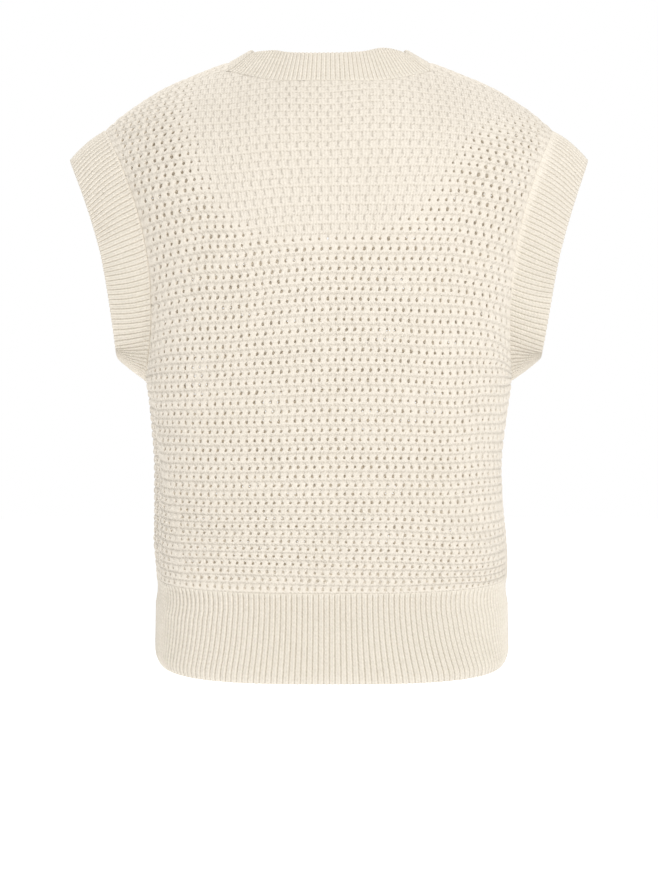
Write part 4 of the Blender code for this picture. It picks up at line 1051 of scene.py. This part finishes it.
def band_ribs(cloths, mats):
    line, norm, along, first, last = band_line(cloths)
    behind = step((line[:, 1] + 0.045) / 0.05)
    lean = np.radians(14.0) * behind
    width = band_width(line)
    tangent = unit(np.gradient(line, axis=0))
    tangent = smoothed(tangent, along, 0.008)
    inward = unit(np.cross(tangent, norm))
    way = smoothed(inward * np.cos(lean)[:, None] + norm * np.sin(lean)[:, None], along, 0.022)
    face = unit(np.cross(tangent, way))
    face = face * np.sign((face * norm).sum(axis=1, keepdims=True))
    out = {}
    for name, cut, pitch in (("r", slice(0, first + 1), 0.0047), ("neck", slice(first, last + 1), NECK_RIB), ("l", slice(last, None), 0.0047)):
        ribs, (points, ways, faces, widths), length = resampled(line[cut], [way[cut], face[cut], width[cut, None]], pitch, 6)
        ways, faces = unit(ways), unit(faces)
        if name == "neck":
            widths = widths + np.interp(points[:, 0], (-0.0945, -0.088, -0.083, -0.072, -0.058, -0.040, 0.0, 0.060, 0.072, 0.083, 0.088, 0.0945), (0.0014, 0.0024, 0.0021, 0.0008, 0.0003, 0.0, 0.0, 0.0, 0.0004, 0.0014, 0.0019, 0.0014))[:, None]
        else:
            from_end = np.linalg.norm(points - points[-1 if name == "r" else 0], axis=1)
            widths = widths + np.interp(from_end, (0.0, 0.006, 0.014, 0.024, 0.042), (0.0014, -0.0002, -0.0019, -0.0018, 0.0))[:, None]

        def base(share, points=points, ways=ways, widths=widths):
            return points + ways * widths * share

        piece = {"r": "front_band_r_rib", "neck": "neckband_rib", "l": "front_band_l_rib"}[name]
        obj = rib_piece(piece, base, faces, ways, ribs, float(widths.mean()), False, mats[name], height=0.00115, thick=0.0033, cut_back=False)
        out[name] = (obj, length, float(widths.mean()), points, faces, ways)
    return out


# ---------------------------------------------------------------- materials
class Nodes:
    """Short names for building a material's nodes."""

    def __init__(self, mat):
        mat.use_nodes = True
        self.tree = mat.node_tree
        self.shader = self.tree.nodes["Principled BSDF"]

    def new(self, kind, **values):
        node = self.tree.nodes.new(kind)
        for key, value in values.items():
            if hasattr(node, key):
                setattr(node, key, value)
            else:
                node.inputs[key].default_value = value
        return node

    def link(self, out, into):
        self.tree.links.new(out, into)

    def math(self, operation, a, b=None, c=None, clamp=False):
        node = self.tree.nodes.new("ShaderNodeMath")
        node.operation = operation
        node.use_clamp = clamp
        for k, value in enumerate((a, b, c)):
            if value is None:
                continue
            if isinstance(value, (int, float)):
                node.inputs[k].default_value = value
            else:
                self.link(value, node.inputs[k])
        return node.outputs[0]

    def span(self, value, low, high):
        """0 where value is at low, 1 at high, held and smooth between; low may be the larger."""
        node = self.tree.nodes.new("ShaderNodeMapRange")
        node.interpolation_type = "SMOOTHSTEP"
        if low > high:
            low, high, ends = high, low, (1.0, 0.0)
        else:
            ends = (0.0, 1.0)
        for socket, number in (("From Min", low), ("From Max", high), ("To Min", ends[0]), ("To Max", ends[1])):
            node.inputs[socket].default_value = number
        self.link(value, node.inputs["Value"])
        return node.outputs["Result"]

    def noise(self, vector, scale, detail=3.0, roughness=0.55):
        node = self.tree.nodes.new("ShaderNodeTexNoise")
        node.inputs["Scale"].default_value = scale
        node.inputs["Detail"].default_value = detail
        node.inputs["Roughness"].default_value = roughness
        self.link(vector, node.inputs["Vector"])
        return node.outputs["Fac"]

    def ramp(self, value, stops):
        node = self.tree.nodes.new("ShaderNodeValToRGB")
        while len(node.color_ramp.elements) < len(stops):
            node.color_ramp.elements.new(0.5)
        for element, (place, colour) in zip(node.color_ramp.elements, stops):
            element.position = place
            element.color = (*colour, 1.0)
        self.link(value, node.inputs["Fac"])
        return node.outputs["Color"]


def yarn(name, shade, kind):
    """Soft cotton yarn in cream. kind is the stitch that the bump draws: open knit or rib."""
    mat = bpy.data.materials.new(name)
    n = Nodes(mat)
    place = n.new("ShaderNodeTexCoord").outputs["Object"]
    knit = n.new("ShaderNodeAttribute", attribute_name="knit").outputs["Vector"]
    split = n.new("ShaderNodeSeparateXYZ")
    n.link(knit, split.inputs[0])
    column, row = split.outputs[0], split.outputs[1]
    fibre = n.noise(place, 1500.0, 3.0, 0.65)
    lump = n.noise(place, 330.0, 3.0, 0.6)
    wander = n.math("MULTIPLY", n.math("SUBTRACT", n.noise(place, 300.0, 2.0), 0.5), 0.24)
    if kind == "open":
        # x: 0 at an eyelet and one half between two; y: 0 at a row of eyelets and one half between two rows
        closed = split.outputs[2]
        x = n.math("SUBTRACT", n.math("FRACT", n.math("ADD", column, 0.5)), 0.5)
        y = n.math("SUBTRACT", n.math("FRACT", n.math("ADD", row, wander)), 0.5)
        side, high = n.math("ABSOLUTE", x), n.math("ABSOLUTE", y)
        # the same across, without the wander of the columns from row to row
        zig = n.math("MULTIPLY", n.math("COSINE", n.math("MULTIPLY", n.math("SUBTRACT", row, 0.5), math.pi)), 0.168)
        zig_row = n.math("MULTIPLY", n.math("COSINE", n.math("MULTIPLY", n.math("FLOOR", row), math.pi)), 0.168)
        upright = n.math("ABSOLUTE", n.math("ADD", x, n.math("SUBTRACT", zig, zig_row)))
        band = n.span(high, 0.28, 0.46)
        # two beads to a column along the band, and four where the knit has closed up
        drawn = n.math("ADD", column, n.math("MULTIPLY", wander, 0.5))
        beads = n.math("COSINE", n.math("MULTIPLY", drawn, 4 * math.pi))
        fine_beads = n.math("COSINE", n.math("MULTIPLY", drawn, 6 * math.pi))
        beads = n.math("ADD", beads, n.math("MULTIPLY", n.math("SUBTRACT", fine_beads, beads), closed))
        dots = n.math("MULTIPLY_ADD", beads, 0.5, 0.5)
        # the courses and loops show more in one place than in the next
        patch = n.math("MULTIPLY_ADD", n.span(n.noise(place, 260.0, 2.0), 0.36, 0.64), 0.80, 0.50)
        speck = n.math("MULTIPLY", n.span(n.noise(place, 620.0, 2.0, 0.6), 0.47, 0.62), closed)
        # painted shade in the shut eyelets at the border of the closed-up knit, so that they show as small hollows
        border = n.math("MULTIPLY", n.math("MULTIPLY", closed, n.math("SUBTRACT", 1.0, closed)), 4.0, clamp=True)
        # and painted shade in the eyelets of the first rows above the hem, fading out by row 3.6
        border = n.math("ADD", border, n.math("MULTIPLY", n.span(row, 3.6, 1.2), 0.45), clamp=True)
        hollow_shade = n.math("MULTIPLY", n.span(n.math("ADD", side, n.math("MULTIPLY", high, 0.9)), 0.24, 0.08), border)
        # the thread that runs up from each eyelet, with a groove on both of its sides; it is sunk by the bump and
        # darkened with painted shade
        thread = n.math("MULTIPLY", n.span(side, 0.11, 0.04), n.math("MULTIPLY", n.span(y, 0.12, 0.24), n.span(y, 0.50, 0.40)))
        # two slanting strands between the eyelets
        legs = n.math("SINE", n.math("MULTIPLY", n.math("ADD", n.math("MULTIPLY", side, 2.2), n.math("MULTIPLY", y, 2.0)), 2 * math.pi))
        tick = n.math("MULTIPLY", n.math("MULTIPLY", n.span(upright, 0.10, 0.02), n.math("MULTIPLY", n.span(y, -0.14, -0.02), n.span(y, 0.46, 0.34))), n.math("MULTIPLY", closed, patch))
        dash = n.math("MULTIPLY", n.math("MULTIPLY", n.span(side, 0.25, 0.14), n.span(n.math("ABSOLUTE", n.math("ADD", y, 0.10)), 0.10, 0.02)), closed)
        # fine upright stitches where the knit has closed up
        fine_stitch = n.math("MULTIPLY", n.math("MULTIPLY_ADD", n.math("SINE", n.math("MULTIPLY", n.math("ADD", drawn, zig), 6 * math.pi)), 0.5, 0.5), closed)
        height = n.math("MULTIPLY", n.math("MULTIPLY", band, n.math("MULTIPLY_ADD", closed, -0.5, 1.0)), n.math("MULTIPLY_ADD", dots, 1.0, -1.1))
        height = n.math("ADD", height, n.math("MULTIPLY", fine_stitch, -0.50))
        height = n.math("ADD", height, n.math("MULTIPLY", thread, -0.9))
        height = n.math("ADD", height, n.math("MULTIPLY", legs, 0.22))
        height = n.math("ADD", height, n.math("MULTIPLY", n.math("ADD", tick, n.math("MULTIPLY", dash, 0.6)), -1.2))
        # painted shade along the bands between the rows of eyelets and along the lines of the closed-up knit, beaded
        # along their length
        line = n.math("MULTIPLY", n.span(high, 0.36, 0.46), n.math("MULTIPLY", closed, patch))
        open_band = n.math("MULTIPLY", band, n.math("SUBTRACT", 1.0, closed))
        painted_shade = n.math("MULTIPLY", open_band, n.math("MULTIPLY_ADD", dots, -0.32, 0.48))
        painted_shade = n.math("ADD", painted_shade, n.math("MULTIPLY", line, n.math("MULTIPLY_ADD", dots, -0.70, 0.70)))
        # random darker specks of the yarn where the knit has closed up
        painted_shade = n.math("ADD", painted_shade, n.math("MULTIPLY", speck, 0.20))
        painted_shade = n.math("ADD", painted_shade, n.math("MULTIPLY", hollow_shade, 0.90))
        # painted shade between the fine stitches, along the threads, and in the ticks and dashes of the shut eyelets
        painted_shade = n.math("ADD", painted_shade, n.math("MULTIPLY", n.math("MULTIPLY", fine_stitch, fine_stitch), 0.30))
        painted_shade = n.math("ADD", painted_shade, n.math("MULTIPLY", thread, n.math("MULTIPLY_ADD", closed, -0.30, 0.40)))
        painted_shade = n.math("ADD", painted_shade, n.math("MULTIPLY", n.math("ADD", tick, n.math("MULTIPLY", dash, 0.7)), 0.34))
    else:
        # 0 on the back of a rib and one half in the valley between two; the stitches of a rib lean to its two sides
        side = n.math("ABSOLUTE", n.math("SUBTRACT", n.math("FRACT", n.math("ADD", column, n.math("ADD", 0.5, n.math("MULTIPLY", wander, 0.35)))), 0.5))
        valley = n.span(side, 0.34, 0.47)
        line = n.math("ADD", row, n.math("MULTIPLY", side, 1.3))
        loops = n.math("SINE", n.math("MULTIPLY", n.math("ADD", line, wander), 2 * math.pi))
        groove = n.span(side, 0.13, 0.02)
        height = n.math("ADD", n.math("MULTIPLY", valley, -0.8), n.math("MULTIPLY", loops, 0.30))
        height = n.math("ADD", height, n.math("MULTIPLY", groove, -0.80))
        # painted shade in the valleys between the ribs, in the grooves down their backs and between their loops
        painted_shade = n.math("MULTIPLY", valley, n.math("MULTIPLY_ADD", loops, 0.22, 0.76))
        painted_shade = n.math("ADD", painted_shade, n.math("MULTIPLY", groove, n.math("MULTIPLY_ADD", loops, 0.10, 0.17)))
        painted_shade = n.math("ADD", painted_shade, n.math("MULTIPLY", n.math("SUBTRACT", 0.5, n.math("MULTIPLY", loops, 0.5)), 0.10))
        # the third value of the knit attribute sets how strongly the bump and the painted shade of the ribs show
        height = n.math("MULTIPLY", height, split.outputs[2])
        painted_shade = n.math("MULTIPLY", painted_shade, split.outputs[2])
    height = n.math("ADD", height, n.math("MULTIPLY", fibre, 0.55))
    height = n.math("ADD", height, n.math("MULTIPLY", lump, 0.80))
    bump = n.new("ShaderNodeBump")
    bump.inputs["Strength"].default_value = 0.75
    bump.inputs["Distance"].default_value = 0.0006
    n.link(height, bump.inputs["Height"])
    n.link(bump.outputs["Normal"], n.shader.inputs["Normal"])
    # colour: cream with slow blotches and paler fibres; painted shade darkens it in the grooves, valleys and hollows of
    # the stitches
    slow = n.noise(place, 17.0, 3.0, 0.5)
    fine = n.noise(place, 520.0, 4.0, 0.6)
    tone = n.math("ADD", n.math("MULTIPLY", slow, 0.16), n.math("MULTIPLY", fine, 0.84))
    if kind == "open":
        tone = n.math("ADD", tone, n.math("MULTIPLY", closed, 0.055))
    r, g, b = shade
    colour = n.ramp(tone, ((0.30, (r * 0.915, g * 0.905, b * 0.880)), (0.50, (r, g, b)), (0.70, (min(r * 1.050, 1), min(g * 1.055, 1), min(b * 1.070, 1)))))
    # painted shade: the cream is multiplied towards a dark tan where the painted shade mask is high
    mix = n.new("ShaderNodeMix", data_type="RGBA", blend_type="MULTIPLY")
    n.link(n.math("MULTIPLY", painted_shade, 0.55, clamp=True), mix.inputs["Factor"])
    n.link(colour, mix.inputs["A"])
    mix.inputs["B"].default_value = (0.50, 0.46, 0.40, 1.0)
    n.link(mix.outputs["Result"], n.shader.inputs["Base Color"])
    n.shader.inputs["Roughness"].default_value = 0.92
    n.shader.inputs["Specular IOR Level"].default_value = 0.22
    n.shader.inputs["Sheen Weight"].default_value = 0.22
    n.shader.inputs["Sheen Roughness"].default_value = 0.45
    n.shader.inputs["Sheen Tint"].default_value = (1.0, 0.97, 0.92, 1.0)
    return mat


def horn(name):
    """Satin resin with clouded streaks, like horn."""
    mat = bpy.data.materials.new(name)
    n = Nodes(mat)
    place = n.new("ShaderNodeTexCoord").outputs["Object"]
    warp = n.new("ShaderNodeMapping")
    warp.inputs["Scale"].default_value = (1.0, 1.0, 0.35)
    n.link(place, warp.inputs["Vector"])
    cloud = n.noise(warp.outputs["Vector"], 190.0, 5.0, 0.62)
    colour = n.ramp(cloud, ((0.28, (0.36, 0.24, 0.13)), (0.50, (0.62, 0.48, 0.31)), (0.72, (0.80, 0.70, 0.52))))
    n.link(colour, n.shader.inputs["Base Color"])
    rough = n.math("ADD", n.math("MULTIPLY", n.noise(place, 800.0, 2.0), 0.16), 0.24)
    n.link(rough, n.shader.inputs["Roughness"])
    bump = n.new("ShaderNodeBump")
    bump.inputs["Strength"].default_value = 0.18
    bump.inputs["Distance"].default_value = 0.0002
    n.link(n.noise(place, 1100.0, 3.0), bump.inputs["Height"])
    n.link(bump.outputs["Normal"], n.shader.inputs["Normal"])
    return mat


# ---------------------------------------------------------------- buttons
BUTTON_RADIUS, BUTTON_THICKNESS = 0.0105, 0.0034
BUTTON_HEIGHTS = (-0.228, -0.300, -0.372, -0.444, -0.516)
HOLE_PLACE, HOLE_RADIUS = 0.0021, 0.0012


def button_mesh():
    """A turned disc with a rounded rim, a dished middle and four holes, lying on z = 0."""
    sides = 56
    rim = ((0.70, 0.02), (0.86, 0.05), (0.95, 0.16), (0.99, 0.34), (1.0, 0.52), (0.985, 0.74), (0.94, 0.92), (0.88, 1.0), (0.80, 0.985), (0.73, 0.90), (0.68, 0.80), (0.62, 0.745), (0.45, 0.72))
    bm = bmesh.new()
    rings = [[bm.verts.new((radius * BUTTON_RADIUS * math.cos(2 * math.pi * k / sides), radius * BUTTON_RADIUS * math.sin(2 * math.pi * k / sides), height * BUTTON_THICKNESS)) for k in range(sides)] for radius, height in rim]
    bm.faces.new(list(reversed(rings[0])))
    for low, high in zip(rings, rings[1:]):
        for k in range(sides):
            bm.faces.new((low[k], low[(k + 1) % sides], high[(k + 1) % sides], high[k]))
    bm.faces.new(rings[-1])
    mesh = bpy.data.meshes.new("disc")
    bm.to_mesh(mesh)
    bm.free()
    disc = bpy.data.objects.new("disc", mesh)
    bpy.context.scene.collection.objects.link(disc)
    bm = bmesh.new()
    for sx, sy in ((1, 1), (-1, 1), (-1, -1), (1, -1)):
        ends = [[bm.verts.new((sx * HOLE_PLACE + HOLE_RADIUS * math.cos(2 * math.pi * k / 20), sy * HOLE_PLACE + HOLE_RADIUS * math.sin(2 * math.pi * k / 20), z)) for k in range(20)] for z in (-0.002, 0.006)]
        bm.faces.new(list(reversed(ends[0])))
        bm.faces.new(ends[1])
        for k in range(20):
            bm.faces.new((ends[0][k], ends[0][(k + 1) % 20], ends[1][(k + 1) % 20], ends[1][k]))
    tool_mesh = bpy.data.meshes.new("drill")
    bm.to_mesh(tool_mesh)
    bm.free()
    tool = bpy.data.objects.new("drill", tool_mesh)
    bpy.context.scene.collection.objects.link(tool)
    cut = disc.modifiers.new("holes", "BOOLEAN")
    cut.operation = "DIFFERENCE"
    cut.object = tool
    graph = bpy.context.evaluated_depsgraph_get()
    result = bpy.data.meshes.new_from_object(disc.evaluated_get(graph))
    bpy.data.objects.remove(disc, do_unlink=True)
    bpy.data.objects.remove(tool, do_unlink=True)
    return result


def tube(points, radius, sides=8):
    """Points and faces of a thin tube along a line of points, with closed ends."""
    points = np.asarray(points, float)
    way = unit(np.gradient(points, axis=0))
    side = unit(np.cross(way, np.array([0.31, 0.52, 0.79])))
    up = np.cross(way, side)
    rings = []
    for k in range(sides):
        a = 2 * math.pi * k / sides
        rings.append(points + radius * (math.cos(a) * side + math.sin(a) * up))
    rings = np.stack(rings, axis=1)
    n = len(points)
    verts = rings.reshape(-1, 3)
    faces = [(i * sides + k, i * sides + (k + 1) % sides, (i + 1) * sides + (k + 1) % sides, (i + 1) * sides + k) for i in range(n - 1) for k in range(sides)]
    faces.append(tuple(range(sides - 1, -1, -1)))
    faces.append(tuple((n - 1) * sides + k for k in range(sides)))
    return verts, faces


def joined(name, parts, mat):
    verts, faces, base = [], [], 0
    for v, f in parts:
        verts.append(v)
        faces += [tuple(base + i for i in face) for face in f]
        base += len(v)
    mesh = bpy.data.meshes.new(name)
    mesh.from_pydata([tuple(p) for p in np.concatenate(verts)], [], faces)
    mesh.update()
    mesh.shade_smooth()
    mesh.materials.append(mat)
    obj = bpy.data.objects.new(name, mesh)
    bpy.context.scene.collection.objects.link(obj)
    return obj


def buttons(band, horn_mat, thread_mat):
    _, _, _, points, faces, ways = band
    middle = points + ways * BAND_WIDTH * 0.5
    order = np.argsort(middle[:, 2])
    base = button_mesh()
    made = []
    for i, height in enumerate(BUTTON_HEIGHTS, start=1):
        place = np.array([np.interp(height, middle[order, 2], middle[order, k]) for k in range(3)])
        z = unit(np.array([np.interp(height, middle[order, 2], faces[order, k]) for k in range(3)]))
        x = unit(np.cross(np.array([0.0, 0.0, 1.0]), z))
        y = np.cross(z, x)
        turn = math.radians((4.0, -7.0, 11.0, -3.0, 6.0)[i - 1])
        x, y = x * math.cos(turn) + y * math.sin(turn), y * math.cos(turn) - x * math.sin(turn)
        place = place + z * 0.0009
        frame_of = np.stack([x, y, z], axis=1)
        mesh = base.copy()
        mesh.name = "button_%d_disc" % i
        co = np.empty(len(mesh.vertices) * 3)
        mesh.vertices.foreach_get("co", co)
        mesh.vertices.foreach_set("co", (co.reshape(-1, 3) @ frame_of.T + place).ravel())
        mesh.update()
        mesh.shade_smooth()
        mesh.set_sharp_from_angle(angle=math.radians(40))
        mesh.materials.clear()
        mesh.materials.append(horn_mat)
        disc = bpy.data.objects.new("button_%d_disc" % i, mesh)
        bpy.context.scene.collection.objects.link(disc)
        parts = []
        for sx in (1, -1):
            for strand in (-0.00032, 0.00030):
                line = []
                for t in np.linspace(-1, 1, 13):
                    rise = 0.00300 + 0.00042 * math.cos(t * math.pi / 2) if abs(t) < 0.86 else 0.0018 * (1 - (abs(t) - 0.86) / 0.14)
                    line.append(place + frame_of @ np.array([sx * HOLE_PLACE + strand + 0.0001 * t * sx, t * (HOLE_PLACE + 0.0002), rise]))
                parts.append(tube(line, 0.00034))
        thread = joined("button_%d_thread" % i, parts, thread_mat)
        made.append((i, disc, thread))
    bpy.data.meshes.remove(base)
    return made


# ---------------------------------------------------------------- stage, light and camera
ROOM = 0.74              # how strongly the white room lights the cloth


def stage_floor():
    """A wide pale floor below the garment, which hangs clear of it."""
    bm = bmesh.new()
    bmesh.ops.create_circle(bm, cap_ends=True, radius=14.0, segments=96)
    mesh = bpy.data.meshes.new("floor")
    bm.to_mesh(mesh)
    bm.free()
    mat = bpy.data.materials.new("floor")
    n = Nodes(mat)
    place = n.new("ShaderNodeTexCoord").outputs["Object"]
    n.link(n.ramp(n.noise(place, 3.0), ((0.3, (0.93, 0.93, 0.93)), (0.7, (0.95, 0.95, 0.95)))), n.shader.inputs["Base Color"])
    n.shader.inputs["Roughness"].default_value = 0.9
    n.shader.inputs["Specular IOR Level"].default_value = 0.1
    n.shader.inputs["Emission Color"].default_value = (1.0, 1.0, 1.0, 1.0)
    n.shader.inputs["Emission Strength"].default_value = 0.36
    mesh.materials.append(mat)
    floor = bpy.data.objects.new("floor", mesh)
    floor.location = (0.0, 0.0, -0.96)
    bpy.context.scene.collection.objects.link(floor)


def area_light(name, place, target, size, power, colour):
    data = bpy.data.lights.new(name, "AREA")
    data.shape = "RECTANGLE"
    data.size, data.size_y = size
    data.energy = power
    data.color = colour
    lamp = bpy.data.objects.new(name, data)
    lamp.location = place
    way = Vector(target) - Vector(place)
    lamp.rotation_euler = way.to_track_quat("-Z", "Y").to_euler()
    bpy.context.scene.collection.objects.link(lamp)


def light_and_camera():
    scene = bpy.context.scene
    world = bpy.data.worlds.new("studio")
    scene.world = world
    world.use_nodes = True
    # an all-white room: its walls are seen at full white and light the cloth a little less than the lamps do
    sky = world.node_tree.nodes["Background"]
    sky.inputs["Color"].default_value = (1.0, 1.0, 1.0, 1.0)
    seen = world.node_tree.nodes.new("ShaderNodeLightPath").outputs["Is Camera Ray"]
    level = world.node_tree.nodes.new("ShaderNodeMath")
    level.operation = "MULTIPLY_ADD"
    level.inputs[1].default_value = 1.0 - ROOM
    level.inputs[2].default_value = ROOM
    world.node_tree.links.new(seen, level.inputs[0])
    world.node_tree.links.new(level.outputs[0], sky.inputs["Strength"])
    area_light("key", (-0.85, 2.3, 2.3), (0.0, 0.0, -0.20), (1.1, 1.1), 50.0, (1.0, 0.995, 0.985))
    area_light("front_key", (0.85, -2.3, 2.3), (0.0, 0.0, -0.20), (1.2, 1.2), 50.0, (1.0, 0.995, 0.985))
    # light that comes through the cloth itself, which the shader of a wall doesn't carry
    for i, (height, power) in enumerate(((-0.16, 0.035), (-0.28, 0.045), (-0.40, 0.045), (-0.50, 0.030))):
        data = bpy.data.lights.new("through_%d" % i, "POINT")
        data.energy = power
        data.shadow_soft_size = 0.05
        data.color = (1.0, 0.97, 0.92)
        lamp = bpy.data.objects.new("through_%d" % i, data)
        lamp.location = (-0.03, 0.0, height)
        lamp.visible_camera = False
        bpy.context.scene.collection.objects.link(lamp)
    scene.view_settings.view_transform = "Standard"
    scene.view_settings.look = "None"
    data = bpy.data.cameras.new("camera")
    data.sensor_fit = "VERTICAL"
    data.sensor_height = 36.0
    data.lens = 36.0 * 2105.0 / 877.0
    data.clip_end = 60.0
    camera = bpy.data.objects.new("camera", data)
    camera.location = (0.0, 2.0, -0.354)
    camera.rotation_euler = (math.radians(90), 0.0, math.radians(180))
    scene.collection.objects.link(camera)
    scene.camera = camera


# ---------------------------------------------------------------- the garment
SHADE = (0.785, 0.724, 0.632)
RIB_SHADE = (0.8095, 0.7508, 0.6558)


def main():
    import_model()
    cloths = {name: Cloth(name) for name in ("back", "l", "r")}
    open_mat, rib_mat = yarn("open_knit_yarn", SHADE, "open"), yarn("rib_yarn", RIB_SHADE, "rib")
    thread_mat, horn_mat = yarn("sewing_thread", (0.74, 0.68, 0.57), "rib"), horn("horn_resin")

    def add(obj, node):
        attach(obj, "root")
        if node:
            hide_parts(node)
        return obj

    for name, node in (("back", "back_panel"), ("l", "front_panel_l"), ("r", "front_panel_r")):
        cloth = cloths[name]
        obj = add(open_knit(node, cloth, open_mat), node)
        area = sheet_area(cloth)
        print(name, "face area %.4f" % area, "widest %.4f" % (np.abs(cloth.columns[:, -1] - cloth.columns[:, 0]).max() * COLUMN), "rows", cloth.top.min(), cloth.top.max())
    for name, node in (("back", "hem_rib_back"), ("l", "hem_rib_front_l"), ("r", "hem_rib_front_r")):
        obj, length, height = hem_rib(name, cloths[name], rib_mat)
        add(obj, node)
        print(node, "length %.4f height %.4f" % (length, height))
    for name, side in (("l", 1), ("r", -1)):
        obj, length, height = arm_rib(name, side, cloths["back"], cloths[name], rib_mat)
        add(obj, "armband_" + name)
        print("armband", name, "length %.4f height %.4f" % (length, height))
    bands = band_ribs(cloths, {"r": rib_mat, "neck": rib_mat, "l": rib_mat})
    for name, node in (("neck", "neckband"), ("l", "front_band_l"), ("r", "front_band_r")):
        add(bands[name][0], node)
        print(node, "length %.4f height %.4f" % bands[name][1:3])
    for i, disc, thread in buttons(bands["r"], horn_mat, thread_mat):
        add(disc, "button_%d" % i)
        add(thread, None)
    stage_floor()
    light_and_camera()


def sheet_area(cloth):
    """Area of a panel's outer face, without relief or holes."""
    area = 0.0
    g = cloth.grid
    cell = np.linalg.norm(np.cross(g[1:, :-1] - g[:-1, :-1], g[:-1, 1:] - g[:-1, :-1]), axis=-1)
    mid_row = (cloth.rows[1:] + cloth.rows[:-1]) / 2
    mid_top = (cloth.top[1:] + cloth.top[:-1]) / 2
    return float((cell * (mid_row[:, None] < mid_top[None, :])).sum())


# Columns of a table of what each piece was cut or knitted to, laid flat: width, length and area in metres; no such
# table is given.
CUT_COLUMNS = ("piece", "width", "length", "area", "sewn to")


main()
